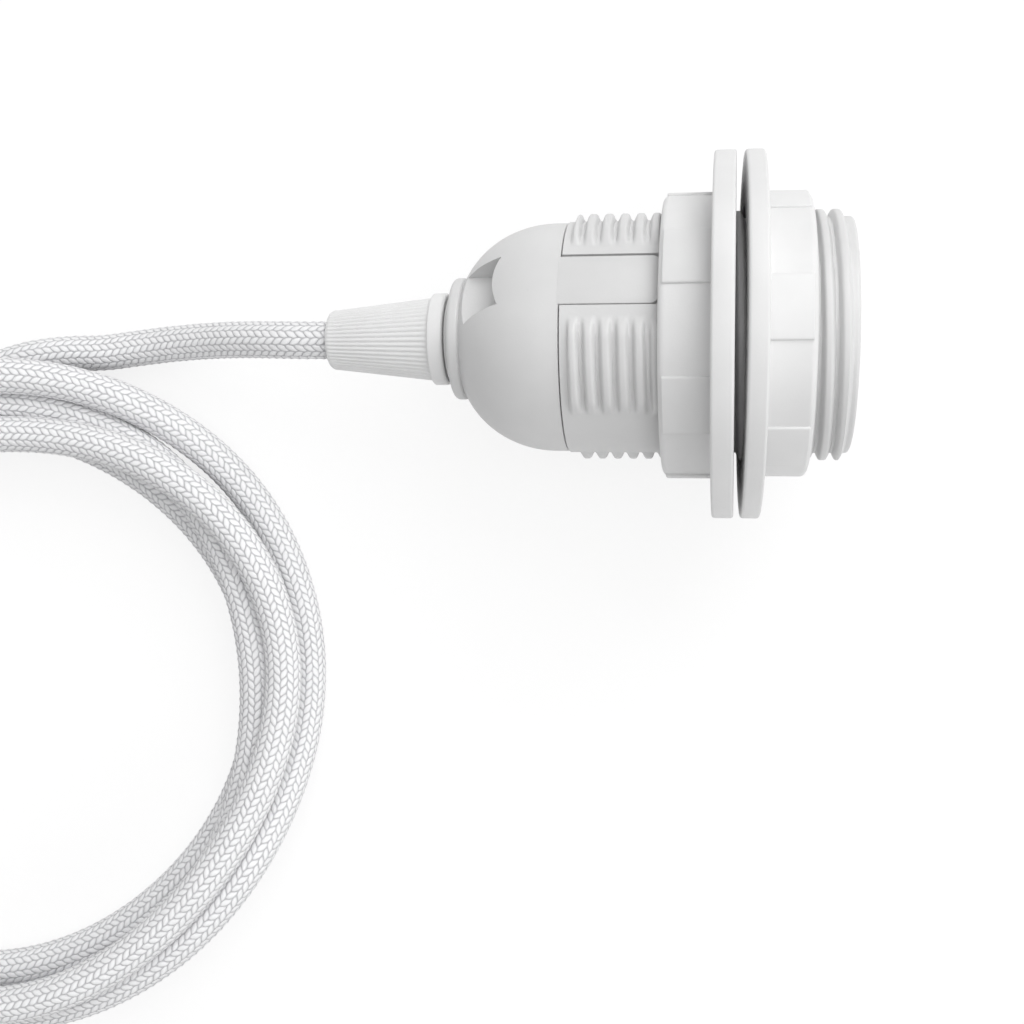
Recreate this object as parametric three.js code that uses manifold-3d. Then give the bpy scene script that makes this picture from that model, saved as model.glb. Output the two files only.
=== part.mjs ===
// Pendant cord set: a moulded lampholder with two threaded shade rings, on a braided textile cord
// that runs down to a loose round coil and ends in a flat two-pin plug.
// Millimetres, +Z up. The holder lies on the rim of its rear shade ring, cord end to -X, mouth to +X.
import * as THREE from 'three';
import { mergeVertices } from 'three/addons/utils/BufferGeometryUtils.js';
import ManifoldModule from 'manifold-3d';

const wasm = await ManifoldModule();
wasm.setup();

// Fineness of the round shapes
const LARGE_SIDES = 40;
const RING_SIDES = 48;
const SMALL_SIDES = 20;
const CORD_SIDES = 10;
const WIRE_SIDES = 8;
const HOLE_SIDES = 12;
const SHELL_SIDES = 32;
const PLUG_SIDES = 16;
const CORNER_STEPS = 2;
const TONGUE_CORNER_STEPS = 3;

// Clearances between neighbours
const SEAT_GAP = 0.3;
const THREAD_SLACK = 0.5;

// How far a cutter reaches past what it cuts, and how closely a vertex is picked by its place
const CUT_MARGIN = 1;
const PICK_TOLERANCE = 0.1;

// How the holder lies: mouth end raised, each ring leaning a little on its loose thread
const HOLDER_TILT_DEG = 8.5;
const RING_LEAN_DEG = 0.85;

// Outside thread of the barrel
const THREAD_CREST_RADIUS = 19.65;
const THREAD_ROOT_RADIUS = 18.5;
const THREAD_PITCH = 2.5;
const THREAD_BLOCK_DEG = 46.5;
const THREAD_BLOCK_OFFSET_DEG = 44;
const THREAD_RUN_IN = 2.9;
const THREAD_MOUTH_MARGIN = 0.9;

// Barrel
const BARREL_LENGTH = 44;
const BARREL_BORE_RADIUS = 16;
const MOUTH_CHAMFER = 0.5;
const MOUTH_REACH = 6.5;
const SPIGOT_LENGTH = 3;
const SPIGOT_WALL = 1.5;
const BLOCK_LEDGE_WIDTH = 1.6;

// Cap: a dome whose section is an elliptic arc, with a neck, a bead and two tongues
const CAP_RADIUS = 18.3;
const CAP_WALL = 2;
const CAP_SKIRT = 1.9;
const DOME_AXIAL = 16;
const DOME_RADIAL = 14.35;
const DOME_ARC_STEPS = 9;
const DOME_LENGTH = 15.2;
const BEAD_RADIUS = 9.9;
const BEAD_LENGTH = 1.6;
const BEAD_CORNER = 0.6;
const NECK_RADIUS = 7;
const NECK_LENGTH = 0.8;
const CAP_CROWN_WALL = 3.2;
const INNER_DOME_SHARE = 0.97;
const TONGUE_WIDTH = 8.2;
const TONGUE_LENGTH = 15;
const TONGUE_THICKNESS = 1.15;
const TONGUE_CORNER = 1.1;
const TONGUE_PROUD = 0.1;
const TONGUE_ROOT = 1;
const TONGUE_TURN_DEG = 158.2;
const RECESS_WIDTH = 8.8;
const RECESS_FLOOR = 10.3;
const RECESS_LENGTH = 5.6;
const RECESS_WALL = 1.2;
const RECESS_TURN_DEG = 153.5;

// Cord grip
const GRIP_NOSE_RADIUS = 4.95;
const GRIP_TAPER_RADIUS = 6.75;
const GRIP_TAPER_LENGTH = 17.7;
const GRIP_NOSE_ROUND = 0.9;
const GRIP_RIM_RADIUS = 7.5;
const GRIP_RIM_LENGTH = 2.5;
const GRIP_RIM_STEP = 0.4;
const GRIP_RIM_CHAMFER = 0.5;
const GRIP_RIB_COUNT = 48;
const GRIP_RIB_DEPTH = 0.22;
const GRIP_SHANK_RADIUS = 5.7;
const GRIP_SHANK_WALL = 0.8;
const COLLET_LENGTH = 3.4;
const COLLET_CONE = 0.8;

// Shade rings
const RING_RADIUS = 29;
const REAR_FLANGE_THICKNESS = 3.4;
const FRONT_FLANGE_THICKNESS = 3;
const RING_GAP = 1.05;
const REAR_COLLAR_LENGTH = 7.8;
const FRONT_COLLAR_LENGTH = 7.2;
const COLLAR_RADIUS = 22.25;
const PAD_RADIUS = 22.65;
const PAD_COUNT = 6;
const PAD_DEG = 25;
const PAD_ROOT = 0.2;
const PAD_SETBACK = 0.6;
const PAD_CHAMFER = 0.4;
const REAR_PAD_TURN_DEG = 154.5;
const FRONT_PAD_TURN_DEG = 176.2;
const FLANGE_CHAMFER = 0.4;
const COLLAR_ROUND = 1;

// Contact block and the metal parts in it
const BLOCK_DEPTH = 29.5;
const BLOCK_FLOOR = 4;
const BLOCK_SETBACK = 2.5;
const BLOCK_COLLAR_WALL = 1.3;
const SHELL_SHEET = 0.5;
const SHELL_THREAD_DEPTH = 1.1;
const SHELL_PITCH = 3.63;
const SHELL_TURNS = 6;
const CONTACT_STRIP = 0.6;
const CONTACT_WIDTH = 4.5;
const CONTACT_RISE = 2.4;
const CONTACT_TAIL = 2;
const CONTACT_BEND_START = 3.5;
const CONTACT_BEND_END = 1.5;
const CONTACT_BEND_SHIFT = 0.3;
const CONTACT_TIP = 2.6;
const SIDE_CONTACT_START = 5;
const SIDE_CONTACT_INSET = 0.4;
const RIVET_RADIUS = 1.2;
const CLAMP_OFFSET = 8;
const CLAMP_SIZE = 6;
const CLAMP_LENGTH = 8;
const CLAMP_ROOF = 1.5;
const CLAMP_SCREW_SHARE = 0.45;
const SCREW_SHANK_RADIUS = 1.3;
const SCREW_SHANK_LENGTH = 1.4;
const SCREW_HEAD_RADIUS = 2.2;
const SCREW_HEAD_LENGTH = 1.8;
const SCREW_SLOT = 0.7;
const SCREW_SLOT_DEPTH = 0.5;
const WIRE_RADIUS = 1.1;
const CABLE_STUB = 2.5;
const CORE_STEPS = 12;
const CORE_END_DEPTH = 3;

// How a core bends from the cord to its clamp: share of the way out, share of the way down
const CORE_BEND = [[0, 0], [0.09, 0.2], [0.47, 0.5], [0.95, 0.8], [1, 0.97]];

// Cord and coil; the points are chosen by hand along the visible cord, in mm above the table plane
const CORD_DIAMETER = 6.2;
const CORD_LEAD_STEPS = 12;
const CORD_TAIL_STEPS = 9;
const LEAD_POINTS = [
  [-59, -0.3, 13.2], [-66, -0.8, 8.8], [-73, -1.5, 5.4], [-79.5, -2.2, 3.9], [-85.5, -3, 3.4],
];
const TAIL_POINTS = [
  [-167.1, -74, 9.4], [-168, -83, 8.2], [-167.6, -92, 7.2], [-166.6, -101, 6.9],
];
const COIL_CENTRE = [-102.5, -65.5];
const COIL_INNER_RADIUS = 42;
const COIL_OUTER_RADIUS = 61.6;
const COIL_HEIGHT = 19;
const COIL_EDGE_ROUND = 3;

// Plug: a flat two-pin body lying on its broad side, with a tapered strain relief
const PLUG_WIDTH = 35.3;
const PLUG_WAIST = 24;
const PLUG_LENGTH = 34;
const PLUG_SHOULDER = 15.3;
const PLUG_THICKNESS = 13.7;
const PLUG_EDGE = 1.6;
const PIN_SPACING = 18.6;
const PIN_RADIUS = 2;
const PIN_CORE_RADIUS = 1.2;
const PIN_LENGTH = 19;
const PIN_TIP_LENGTH = 1.2;
const PIN_TIP_SHARE = 0.6;
const SLEEVE_LENGTH = 10;
const SLEEVE_INSET = 0.05;
const PIN_SOCKET_DEPTH = 4;
const RELIEF_LENGTH = 24;
const RELIEF_ROOT_RADIUS = 5.4;
const RELIEF_TIP_RADIUS = 3.9;

// Places along the holder's axis, measured from the middle of the rear ring's flange
const rearFlangeBack = -REAR_FLANGE_THICKNESS / 2;
const frontRingZ = REAR_FLANGE_THICKNESS / 2 + RING_GAP + FRONT_FLANGE_THICKNESS / 2;
const rearCollarEnd = rearFlangeBack - REAR_COLLAR_LENGTH;
const frontCollarEnd = frontRingZ + FRONT_FLANGE_THICKNESS / 2 + FRONT_COLLAR_LENGTH;
const mouthZ = frontCollarEnd + MOUTH_REACH;
const seamZ = mouthZ - BARREL_LENGTH;
const capRimZ = seamZ - SEAT_GAP;
const tongueEndZ = capRimZ + TONGUE_LENGTH;
const domeCentreZ = capRimZ - CAP_SKIRT;
const beadZ = domeCentreZ - DOME_LENGTH;
const neckZ = beadZ - BEAD_LENGTH;
const neckEndZ = neckZ - NECK_LENGTH;
const gripRimZ = neckEndZ - SEAT_GAP;
const gripTaperZ = gripRimZ - GRIP_RIM_LENGTH;
const gripNoseZ = gripTaperZ - GRIP_TAPER_LENGTH;
const floorTopZ = mouthZ - BLOCK_DEPTH;
const floorBottomZ = floorTopZ - BLOCK_FLOOR;
const shellBottomZ = floorTopZ + CONTACT_STRIP + 2 * SEAT_GAP;
const clampTopZ = floorBottomZ - SEAT_GAP;

// Radii that follow from the sizes above
const cordRadius = CORD_DIAMETER / 2;
const cordBoreRadius = cordRadius + SEAT_GAP;
const neckBoreRadius = GRIP_SHANK_RADIUS + SEAT_GAP;
const capBoreRadius = CAP_RADIUS - CAP_WALL;
const domeCentreRadius = CAP_RADIUS - DOME_RADIAL;
const spigotRadius = capBoreRadius - SEAT_GAP;
const tongueOuterRadius = CAP_RADIUS + TONGUE_PROUD;
const tongueInnerRadius = tongueOuterRadius - TONGUE_THICKNESS;
const ringBoreRadius = THREAD_CREST_RADIUS + THREAD_SLACK;
const blockRadius = BARREL_BORE_RADIUS - SEAT_GAP;
const blockCollarInner = blockRadius - BLOCK_COLLAR_WALL;
const shellOuterRadius = blockCollarInner - SEAT_GAP;
const blockHoleRadius = RIVET_RADIUS + SEAT_GAP;

// Finishes
const plastic = (color, roughness = 0.5) => new THREE.MeshStandardMaterial({ color, roughness, metalness: 0 });
const metal = (color, roughness = 0.35) => new THREE.MeshStandardMaterial({ color, roughness, metalness: 1 });
const HOLDER_WHITE = 0xe4e4e4;
const RING_WHITE = 0xebebeb;
const GRIP_WHITE = 0xeeeeee;
const BLOCK_WHITE = 0xdcdad4;
const BRASS = 0xc9a85c;
const STEEL = 0xb9bcc0;
const CORD_WHITE = 0xe6e6e8;
const LIVE_BROWN = 0x6b3e22;
const NEUTRAL_BLUE = 0x2f5f9e;

const rad = THREE.MathUtils.degToRad;

// Closed geometry with merged corners and no empty triangles
function closed(geometry) {
  geometry.deleteAttribute('normal');
  geometry.deleteAttribute('uv');
  const merged = mergeVertices(geometry, 1e-4);
  const index = merged.index.array;
  const kept = [];
  for (let i = 0; i < index.length; i += 3) {
    const [a, b, c] = [index[i], index[i + 1], index[i + 2]];
    if (a !== b && b !== c && c !== a) kept.push(a, b, c);
  }
  merged.setIndex(kept);
  return merged;
}

function toSolid(geometry) {
  const mesh = closed(geometry);
  return new wasm.Manifold(new wasm.Mesh({
    numProp: 3,
    vertProperties: new Float32Array(mesh.attributes.position.array),
    triVerts: new Uint32Array(mesh.index.array),
  }));
}

function fromSolid(solid) {
  const { vertProperties, triVerts } = solid.getMesh();
  const geometry = new THREE.BufferGeometry();
  geometry.setAttribute('position', new THREE.BufferAttribute(new Float32Array(vertProperties), 3));
  geometry.setIndex(new THREE.BufferAttribute(new Uint32Array(triVerts), 1));
  geometry.computeVertexNormals();
  return geometry;
}

// Turned shape about Z; the profile is a list of [radius, z], outer wall towards +Z
function turned(profile, sides = LARGE_SIDES) {
  const points = profile.map(([r, z]) => new THREE.Vector2(r, z));
  return new THREE.LatheGeometry(points, sides).rotateX(Math.PI / 2);
}

function turnedRing(inner, outer, z0, z1, sides = LARGE_SIDES) {
  return turned([[inner, z0], [outer, z0], [outer, z1], [inner, z1], [inner, z0]], sides);
}

function rod(radius, z0, z1, sides = SMALL_SIDES) {
  return turned([[0, z0], [radius, z0], [radius, z1], [0, z1]], sides);
}

// Points of a rounded corner between an end face and the outer wall, the wall towards +Z or -Z
function cornerArc(radius, faceZ, round, side) {
  return Array.from({ length: CORNER_STEPS + 1 }, (_, i) => {
    const angle = (Math.PI / 2) * (i / CORNER_STEPS);
    return [radius - round * (1 - Math.sin(angle)), faceZ + side * round * (1 - Math.cos(angle))];
  });
}

function polygon(points) {
  return new THREE.Shape(points.map(([x, y]) => new THREE.Vector2(x, y)));
}

function extruded(shape, z0, z1) {
  return new THREE.ExtrudeGeometry(shape, { depth: z1 - z0, bevelEnabled: false, curveSegments: 6 })
    .translate(0, 0, z0);
}

// Wedge of a circle around Z, to pick out a range of angles
function wedge(centreDeg, widthDeg, reach, z0, z1) {
  const corner = (deg) => [reach * Math.cos(rad(deg)), reach * Math.sin(rad(deg))];
  const half = widthDeg / 2;
  return extruded(polygon([[0, 0], corner(centreDeg - half), corner(centreDeg), corner(centreDeg + half)]), z0, z1);
}

// Block that starts at a distance from the axis and faces outward at an angle
function outwardBlock(turnDeg, width, near, far, z0, z1) {
  return new THREE.BoxGeometry(far - near, width, z1 - z0)
    .translate((near + far) / 2, 0, (z0 + z1) / 2).rotateZ(rad(turnDeg));
}

function opposite(turnDeg) {
  return [turnDeg, turnDeg + 180];
}

function named(name, geometry, material) {
  const mesh = new THREE.Mesh(geometry, material);
  mesh.name = name;
  return mesh;
}

// Cord grip: tapered, with fine lengthwise ribs, a plain rim and a shank in the neck
function cordGrip() {
  const ribStart = gripNoseZ + GRIP_NOSE_ROUND;
  const ribEnd = gripTaperZ - GRIP_RIM_STEP;
  const shankEnd = neckZ + CAP_CROWN_WALL;
  const shankBore = GRIP_SHANK_RADIUS - GRIP_SHANK_WALL;
  const colletSeat = shankEnd - COLLET_LENGTH - SEAT_GAP;
  const profile = [
    [cordBoreRadius, gripNoseZ], ...cornerArc(GRIP_NOSE_RADIUS, gripNoseZ, GRIP_NOSE_ROUND, 1),
    [GRIP_TAPER_RADIUS, ribEnd], [GRIP_RIM_RADIUS, gripTaperZ],
    [GRIP_RIM_RADIUS, gripRimZ - GRIP_RIM_CHAMFER], [GRIP_RIM_RADIUS - GRIP_RIM_CHAMFER, gripRimZ],
    [GRIP_SHANK_RADIUS, gripRimZ], [GRIP_SHANK_RADIUS, shankEnd], [shankBore, shankEnd],
    [shankBore, colletSeat], [cordBoreRadius, colletSeat - COLLET_CONE], [cordBoreRadius, gripNoseZ],
  ];
  const geometry = closed(turned(profile, GRIP_RIB_COUNT * 2));
  const place = geometry.attributes.position;
  for (let i = 0; i < place.count; i += 1) {
    const [x, y, z] = [place.getX(i), place.getY(i), place.getZ(i)];
    const radius = Math.hypot(x, y);
    const side = Math.round((Math.atan2(y, x) / Math.PI) * GRIP_RIB_COUNT);
    const ribbed = z > ribStart - PICK_TOLERANCE && z < ribEnd + PICK_TOLERANCE
      && radius > GRIP_NOSE_RADIUS - PICK_TOLERANCE;
    if (ribbed && Math.abs(side) % 2 === 1) {
      const scale = (radius - GRIP_RIB_DEPTH) / radius;
      place.setXY(i, x * scale, y * scale);
    }
  }
  return named('cord_grip', geometry, plastic(GRIP_WHITE));
}

function gripCollet() {
  const end = neckZ + CAP_CROWN_WALL;
  const outer = GRIP_SHANK_RADIUS - GRIP_SHANK_WALL - SEAT_GAP;
  return named('grip_collet', turnedRing(cordBoreRadius, outer, end - COLLET_LENGTH, end, SMALL_SIDES),
    plastic(BLOCK_WHITE));
}

// Points of the dome's arc between two distances from its widest section
function domeArc(axial, radial, from, to) {
  const start = Math.asin(Math.min(1, from / axial));
  const end = Math.asin(Math.min(1, to / axial));
  return Array.from({ length: DOME_ARC_STEPS + 1 }, (_, i) => {
    const angle = start + ((end - start) * i) / DOME_ARC_STEPS;
    return [domeCentreRadius + radial * Math.cos(angle), domeCentreZ - axial * Math.sin(angle)];
  });
}

// Snap tongue that lies in the barrel's slot, its free corners rounded
function tongue(turnDeg) {
  const half = TONGUE_WIDTH / 2;
  const shape = new THREE.Shape();
  shape.moveTo(capRimZ - TONGUE_ROOT, -half);
  shape.lineTo(tongueEndZ - TONGUE_CORNER, -half);
  shape.quadraticCurveTo(tongueEndZ, -half, tongueEndZ, -half + TONGUE_CORNER);
  shape.lineTo(tongueEndZ, half - TONGUE_CORNER);
  shape.quadraticCurveTo(tongueEndZ, half, tongueEndZ - TONGUE_CORNER, half);
  shape.lineTo(capRimZ - TONGUE_ROOT, half);
  shape.closePath();
  const options = { depth: CAP_RADIUS, bevelEnabled: false, curveSegments: TONGUE_CORNER_STEPS };
  const plate = new THREE.ExtrudeGeometry(shape, options).rotateY(-Math.PI / 2).rotateZ(Math.PI + rad(turnDeg));
  const ringStart = capRimZ - TONGUE_ROOT - CUT_MARGIN;
  const ring = turnedRing(tongueInnerRadius, tongueOuterRadius, ringStart, tongueEndZ + CUT_MARGIN, RING_SIDES);
  return toSolid(plate).intersect(toSolid(ring));
}

// Cap: neck, bead, dome and skirt in one moulding, with two tongues and two driver recesses
function cap() {
  const crownZ = neckZ + CAP_CROWN_WALL;
  const innerReach = Math.min(domeCentreZ - crownZ, (DOME_AXIAL - CAP_WALL) * INNER_DOME_SHARE);
  const outside = [
    [BEAD_RADIUS - BEAD_CORNER, neckZ], [BEAD_RADIUS, neckZ + BEAD_CORNER], [BEAD_RADIUS, beadZ],
    ...domeArc(DOME_AXIAL, DOME_RADIAL, 0, DOME_LENGTH).reverse(),
  ];
  const profile = [
    [neckBoreRadius, neckEndZ], [NECK_RADIUS, neckEndZ], [NECK_RADIUS, neckZ], ...outside,
    [CAP_RADIUS, capRimZ], [capBoreRadius, capRimZ],
    ...domeArc(DOME_AXIAL - CAP_WALL, DOME_RADIAL - CAP_WALL, 0, innerReach),
    [neckBoreRadius, domeCentreZ - innerReach], [neckBoreRadius, neckEndZ],
  ];
  let body = toSolid(turned(profile));
  for (const turn of opposite(TONGUE_TURN_DEG)) body = body.add(tongue(turn));
  const filled = toSolid(turned([[0, neckZ], ...outside, [0, domeCentreZ]]));
  const reach = CAP_RADIUS + CUT_MARGIN;
  const recessEnd = beadZ + RECESS_LENGTH;
  for (const turn of opposite(RECESS_TURN_DEG)) {
    const pocketWidth = RECESS_WIDTH + 2 * RECESS_WALL;
    const pocket = outwardBlock(turn, pocketWidth, RECESS_FLOOR - RECESS_WALL, reach, beadZ, recessEnd + RECESS_WALL);
    body = body.add(toSolid(pocket).intersect(filled));
    body = body.subtract(toSolid(outwardBlock(turn, RECESS_WIDTH, RECESS_FLOOR, reach, beadZ, recessEnd)));
  }
  return named('cap', fromSolid(body), plastic(HOLDER_WHITE));
}

// Zigzag of thread ridges between two places along the axis
function threadProfile(from, to) {
  const ridges = Math.floor((to - from) / THREAD_PITCH);
  const points = [[THREAD_ROOT_RADIUS, from]];
  for (let i = 0; i < ridges; i += 1) {
    const start = from + i * THREAD_PITCH;
    points.push([THREAD_CREST_RADIUS, start + THREAD_PITCH / 2], [THREAD_ROOT_RADIUS, start + THREAD_PITCH]);
  }
  return points;
}

// Barrel: threaded shell whose thread is broken into four blocks at the cap end
function barrel() {
  const threadStart = seamZ + THREAD_RUN_IN;
  const ledgeZ = floorBottomZ - SEAT_GAP;
  const ledgeRadius = BARREL_BORE_RADIUS - BLOCK_LEDGE_WIDTH;
  const spigotEnd = seamZ - SPIGOT_LENGTH;
  const spigotInner = Math.min(spigotRadius - SPIGOT_WALL, ledgeRadius);
  const profile = [
    [spigotInner, spigotEnd], [spigotRadius, spigotEnd], [spigotRadius, seamZ], [THREAD_ROOT_RADIUS, seamZ],
    ...threadProfile(threadStart, mouthZ - THREAD_MOUTH_MARGIN),
    [THREAD_ROOT_RADIUS, mouthZ - MOUTH_CHAMFER], [THREAD_ROOT_RADIUS - MOUTH_CHAMFER, mouthZ],
    [BARREL_BORE_RADIUS, mouthZ], [BARREL_BORE_RADIUS, ledgeZ], [spigotInner, ledgeZ], [spigotInner, spigotEnd],
  ];
  let body = toSolid(turned(profile));
  const reach = THREAD_CREST_RADIUS + CUT_MARGIN;
  const blockEnd = threadStart + THREAD_PITCH * Math.ceil((tongueEndZ - threadStart) / THREAD_PITCH);
  const trimRing = toSolid(turnedRing(THREAD_ROOT_RADIUS, reach, threadStart - SEAT_GAP, blockEnd));
  const tongueZone = 2 * (THREAD_BLOCK_OFFSET_DEG - THREAD_BLOCK_DEG / 2);
  const flatZone = 180 - tongueZone - 2 * THREAD_BLOCK_DEG;
  for (const turn of opposite(TONGUE_TURN_DEG)) {
    for (const [centre, width] of [[turn, tongueZone], [turn + 90, flatZone]]) {
      const zone = toSolid(wedge(centre, width, reach * 2, threadStart - CUT_MARGIN, blockEnd + CUT_MARGIN));
      body = body.subtract(trimRing.intersect(zone));
    }
    const slotWidth = TONGUE_WIDTH + 2 * SEAT_GAP;
    const slotStart = seamZ - CUT_MARGIN;
    const slot = outwardBlock(turn, slotWidth, tongueInnerRadius / 2, reach, slotStart, tongueEndZ + 2 * SEAT_GAP);
    const slotRing = turnedRing(tongueInnerRadius - SEAT_GAP, reach + CUT_MARGIN, slotStart, mouthZ, RING_SIDES);
    body = body.subtract(toSolid(slot).intersect(toSolid(slotRing)));
  }
  return named('barrel', fromSolid(body), plastic(HOLDER_WHITE));
}

// Shade ring: flange centred on z = 0, nut collar towards +Z with raised pads round it
function shadeRing(name, thickness, collarLength, padTurnDeg) {
  const half = thickness / 2;
  const end = half + collarLength;
  const profile = [
    [ringBoreRadius, -half], [RING_RADIUS - FLANGE_CHAMFER, -half], [RING_RADIUS, -half + FLANGE_CHAMFER],
    [RING_RADIUS, half - FLANGE_CHAMFER], [RING_RADIUS - FLANGE_CHAMFER, half], [COLLAR_RADIUS, half],
    ...cornerArc(COLLAR_RADIUS, end, COLLAR_ROUND, -1).reverse(), [ringBoreRadius, end], [ringBoreRadius, -half],
  ];
  let body = toSolid(turned(profile, RING_SIDES));
  const padInner = (ringBoreRadius + COLLAR_RADIUS) / 2;
  const padEnd = end - PAD_SETBACK;
  const padStart = half - PAD_ROOT;
  const padRing = toSolid(turned([
    [padInner, padStart], [PAD_RADIUS, padStart], [PAD_RADIUS, padEnd - PAD_CHAMFER],
    [PAD_RADIUS - PAD_CHAMFER, padEnd], [padInner, padEnd], [padInner, padStart],
  ], RING_SIDES));
  for (let i = 0; i < PAD_COUNT; i += 1) {
    const turn = padTurnDeg + (360 / PAD_COUNT) * i;
    const zone = toSolid(wedge(turn, PAD_DEG, PAD_RADIUS * 2, 0, end));
    body = body.add(padRing.intersect(zone));
  }
  return named(name, fromSolid(body), plastic(RING_WHITE));
}

// Contact block: insulating floor with a collar round the screw shell
function contactBlock() {
  const collarEnd = mouthZ - BLOCK_SETBACK;
  const profile = [
    [0, floorBottomZ], [blockRadius, floorBottomZ], [blockRadius, collarEnd], [blockCollarInner, collarEnd],
    [blockCollarInner, floorTopZ], [0, floorTopZ],
  ];
  let body = toSolid(turned(profile));
  for (const side of [-1, 1]) {
    const hole = rod(blockHoleRadius, floorBottomZ - CUT_MARGIN, floorTopZ + CUT_MARGIN, HOLE_SIDES);
    body = body.subtract(toSolid(hole.translate(side * CLAMP_OFFSET, 0, 0)));
  }
  return named('contact_block', fromSolid(body), plastic(BLOCK_WHITE));
}

// Screw shell: rolled thread in thin sheet
function screwShell() {
  const points = [];
  for (let i = 0; i <= SHELL_TURNS * 2; i += 1) {
    const deep = i % 2 === 1 ? SHELL_THREAD_DEPTH : 0;
    points.push([shellOuterRadius - deep, shellBottomZ + (i * SHELL_PITCH) / 2]);
  }
  const inner = points.map(([r, z]) => [r - SHELL_SHEET, z]).reverse();
  const profile = [inner[inner.length - 1], ...points, ...inner];
  return named('screw_shell', closed(turned(profile, SHELL_SIDES)), metal(BRASS));
}

function rivet(x) {
  const shank = rod(RIVET_RADIUS, floorBottomZ, floorTopZ + SEAT_GAP + CONTACT_STRIP / 2, HOLE_SIDES);
  return toSolid(shank.translate(x, 0, 0));
}

// Centre contact: sprung strip rising to the middle of the floor, riveted down to one clamp
function centreContact() {
  const base = floorTopZ + SEAT_GAP;
  const rise = base + CONTACT_RISE;
  const tail = -CLAMP_OFFSET - CONTACT_TAIL;
  const outline = polygon([
    [tail, base], [-CONTACT_BEND_START, base], [CONTACT_BEND_END, rise], [CONTACT_TIP, rise],
    [CONTACT_TIP, rise + CONTACT_STRIP], [CONTACT_BEND_END - CONTACT_BEND_SHIFT, rise + CONTACT_STRIP],
    [-CONTACT_BEND_START - CONTACT_BEND_SHIFT, base + CONTACT_STRIP], [tail, base + CONTACT_STRIP],
  ]);
  const strip = new THREE.ExtrudeGeometry(outline, { depth: CONTACT_WIDTH, bevelEnabled: false })
    .translate(0, 0, -CONTACT_WIDTH / 2).rotateX(Math.PI / 2);
  return named('centre_contact', fromSolid(toSolid(strip).add(rivet(-CLAMP_OFFSET))), metal(BRASS));
}

// Side contact: flat strip under the edge of the screw shell, riveted down to the other clamp
function sideContact() {
  const base = floorTopZ + SEAT_GAP;
  const outerEnd = shellOuterRadius - SIDE_CONTACT_INSET;
  const strip = new THREE.BoxGeometry(outerEnd - SIDE_CONTACT_START, CONTACT_WIDTH, CONTACT_STRIP)
    .translate((outerEnd + SIDE_CONTACT_START) / 2, 0, base + CONTACT_STRIP / 2);
  return named('side_contact', fromSolid(toSolid(strip).add(rivet(CLAMP_OFFSET))), metal(BRASS));
}

// Terminal clamp: brass block with a wire hole from below and a screw hole from outside
function terminalClamp(name, side) {
  const bottom = clampTopZ - CLAMP_LENGTH;
  const block = new THREE.BoxGeometry(CLAMP_SIZE, CLAMP_SIZE, CLAMP_LENGTH)
    .translate(side * CLAMP_OFFSET, 0, (bottom + clampTopZ) / 2);
  const wireHole = rod(WIRE_RADIUS + SEAT_GAP, bottom - CUT_MARGIN, clampTopZ - CLAMP_ROOF, HOLE_SIDES)
    .translate(side * CLAMP_OFFSET, 0, 0);
  const screwHole = rod(SCREW_SHANK_RADIUS + SEAT_GAP, 0, CLAMP_SIZE, HOLE_SIDES)
    .rotateY((side * Math.PI) / 2).translate(side * CLAMP_OFFSET, 0, screwZ());
  const body = toSolid(block).subtract(toSolid(wireHole)).subtract(toSolid(screwHole));
  return named(name, fromSolid(body), metal(BRASS));
}

function screwZ() {
  return clampTopZ - CLAMP_LENGTH * CLAMP_SCREW_SHARE;
}

function terminalScrew(name, side) {
  const headAt = CLAMP_SIZE / 2 + SEAT_GAP;
  const shankFrom = headAt - SCREW_SHANK_LENGTH;
  const profile = [
    [0, shankFrom], [SCREW_SHANK_RADIUS, shankFrom], [SCREW_SHANK_RADIUS, headAt], [SCREW_HEAD_RADIUS, headAt],
    [SCREW_HEAD_RADIUS, headAt + SCREW_HEAD_LENGTH], [0, headAt + SCREW_HEAD_LENGTH],
  ];
  const slot = new THREE.BoxGeometry(SCREW_SLOT, SCREW_HEAD_RADIUS * 3, SCREW_SLOT_DEPTH * 2)
    .translate(0, 0, headAt + SCREW_HEAD_LENGTH);
  const solid = toSolid(turned(profile, SMALL_SIDES)).subtract(toSolid(slot));
  const geometry = fromSolid(solid).rotateY((side * Math.PI) / 2).translate(side * CLAMP_OFFSET, 0, screwZ());
  return named(name, geometry, metal(STEEL));
}

// Round bar along a smooth curve, closed at both ends
function tube(points, radius, sides, steps) {
  const section = new THREE.Shape();
  for (let i = 0; i < sides; i += 1) {
    const angle = (i / sides) * Math.PI * 2;
    const [x, y] = [radius * Math.cos(angle), radius * Math.sin(angle)];
    if (i === 0) section.moveTo(x, y);
    else section.lineTo(x, y);
  }
  section.closePath();
  const path = new THREE.CatmullRomCurve3(points.map((p) => new THREE.Vector3(...p)), false, 'centripetal');
  return closed(new THREE.ExtrudeGeometry(section, { steps, bevelEnabled: false, extrudePath: path }));
}

// Cord inside the grip and cap, stripped at the end to two insulated cores
function cableInside() {
  return named('cable_inside', closed(rod(cordRadius, gripNoseZ + SEAT_GAP, cableEndZ())), plastic(CORD_WHITE, 0.9));
}

function cableEndZ() {
  return neckZ + CAP_CROWN_WALL + CABLE_STUB;
}

function coreWire(name, side, color) {
  const start = cableEndZ() + SEAT_GAP;
  const drop = clampTopZ - CLAMP_LENGTH - start;
  const near = cordRadius / 2;
  const bend = CORE_BEND.map(([out, down]) => [side * (near + (CLAMP_OFFSET - near) * out), 0, start + drop * down]);
  const points = [...bend, [side * CLAMP_OFFSET, 0, clampTopZ - CORE_END_DEPTH]];
  return named(name, tube(points, WIRE_RADIUS, WIRE_SIDES, CORE_STEPS), plastic(color));
}

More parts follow.
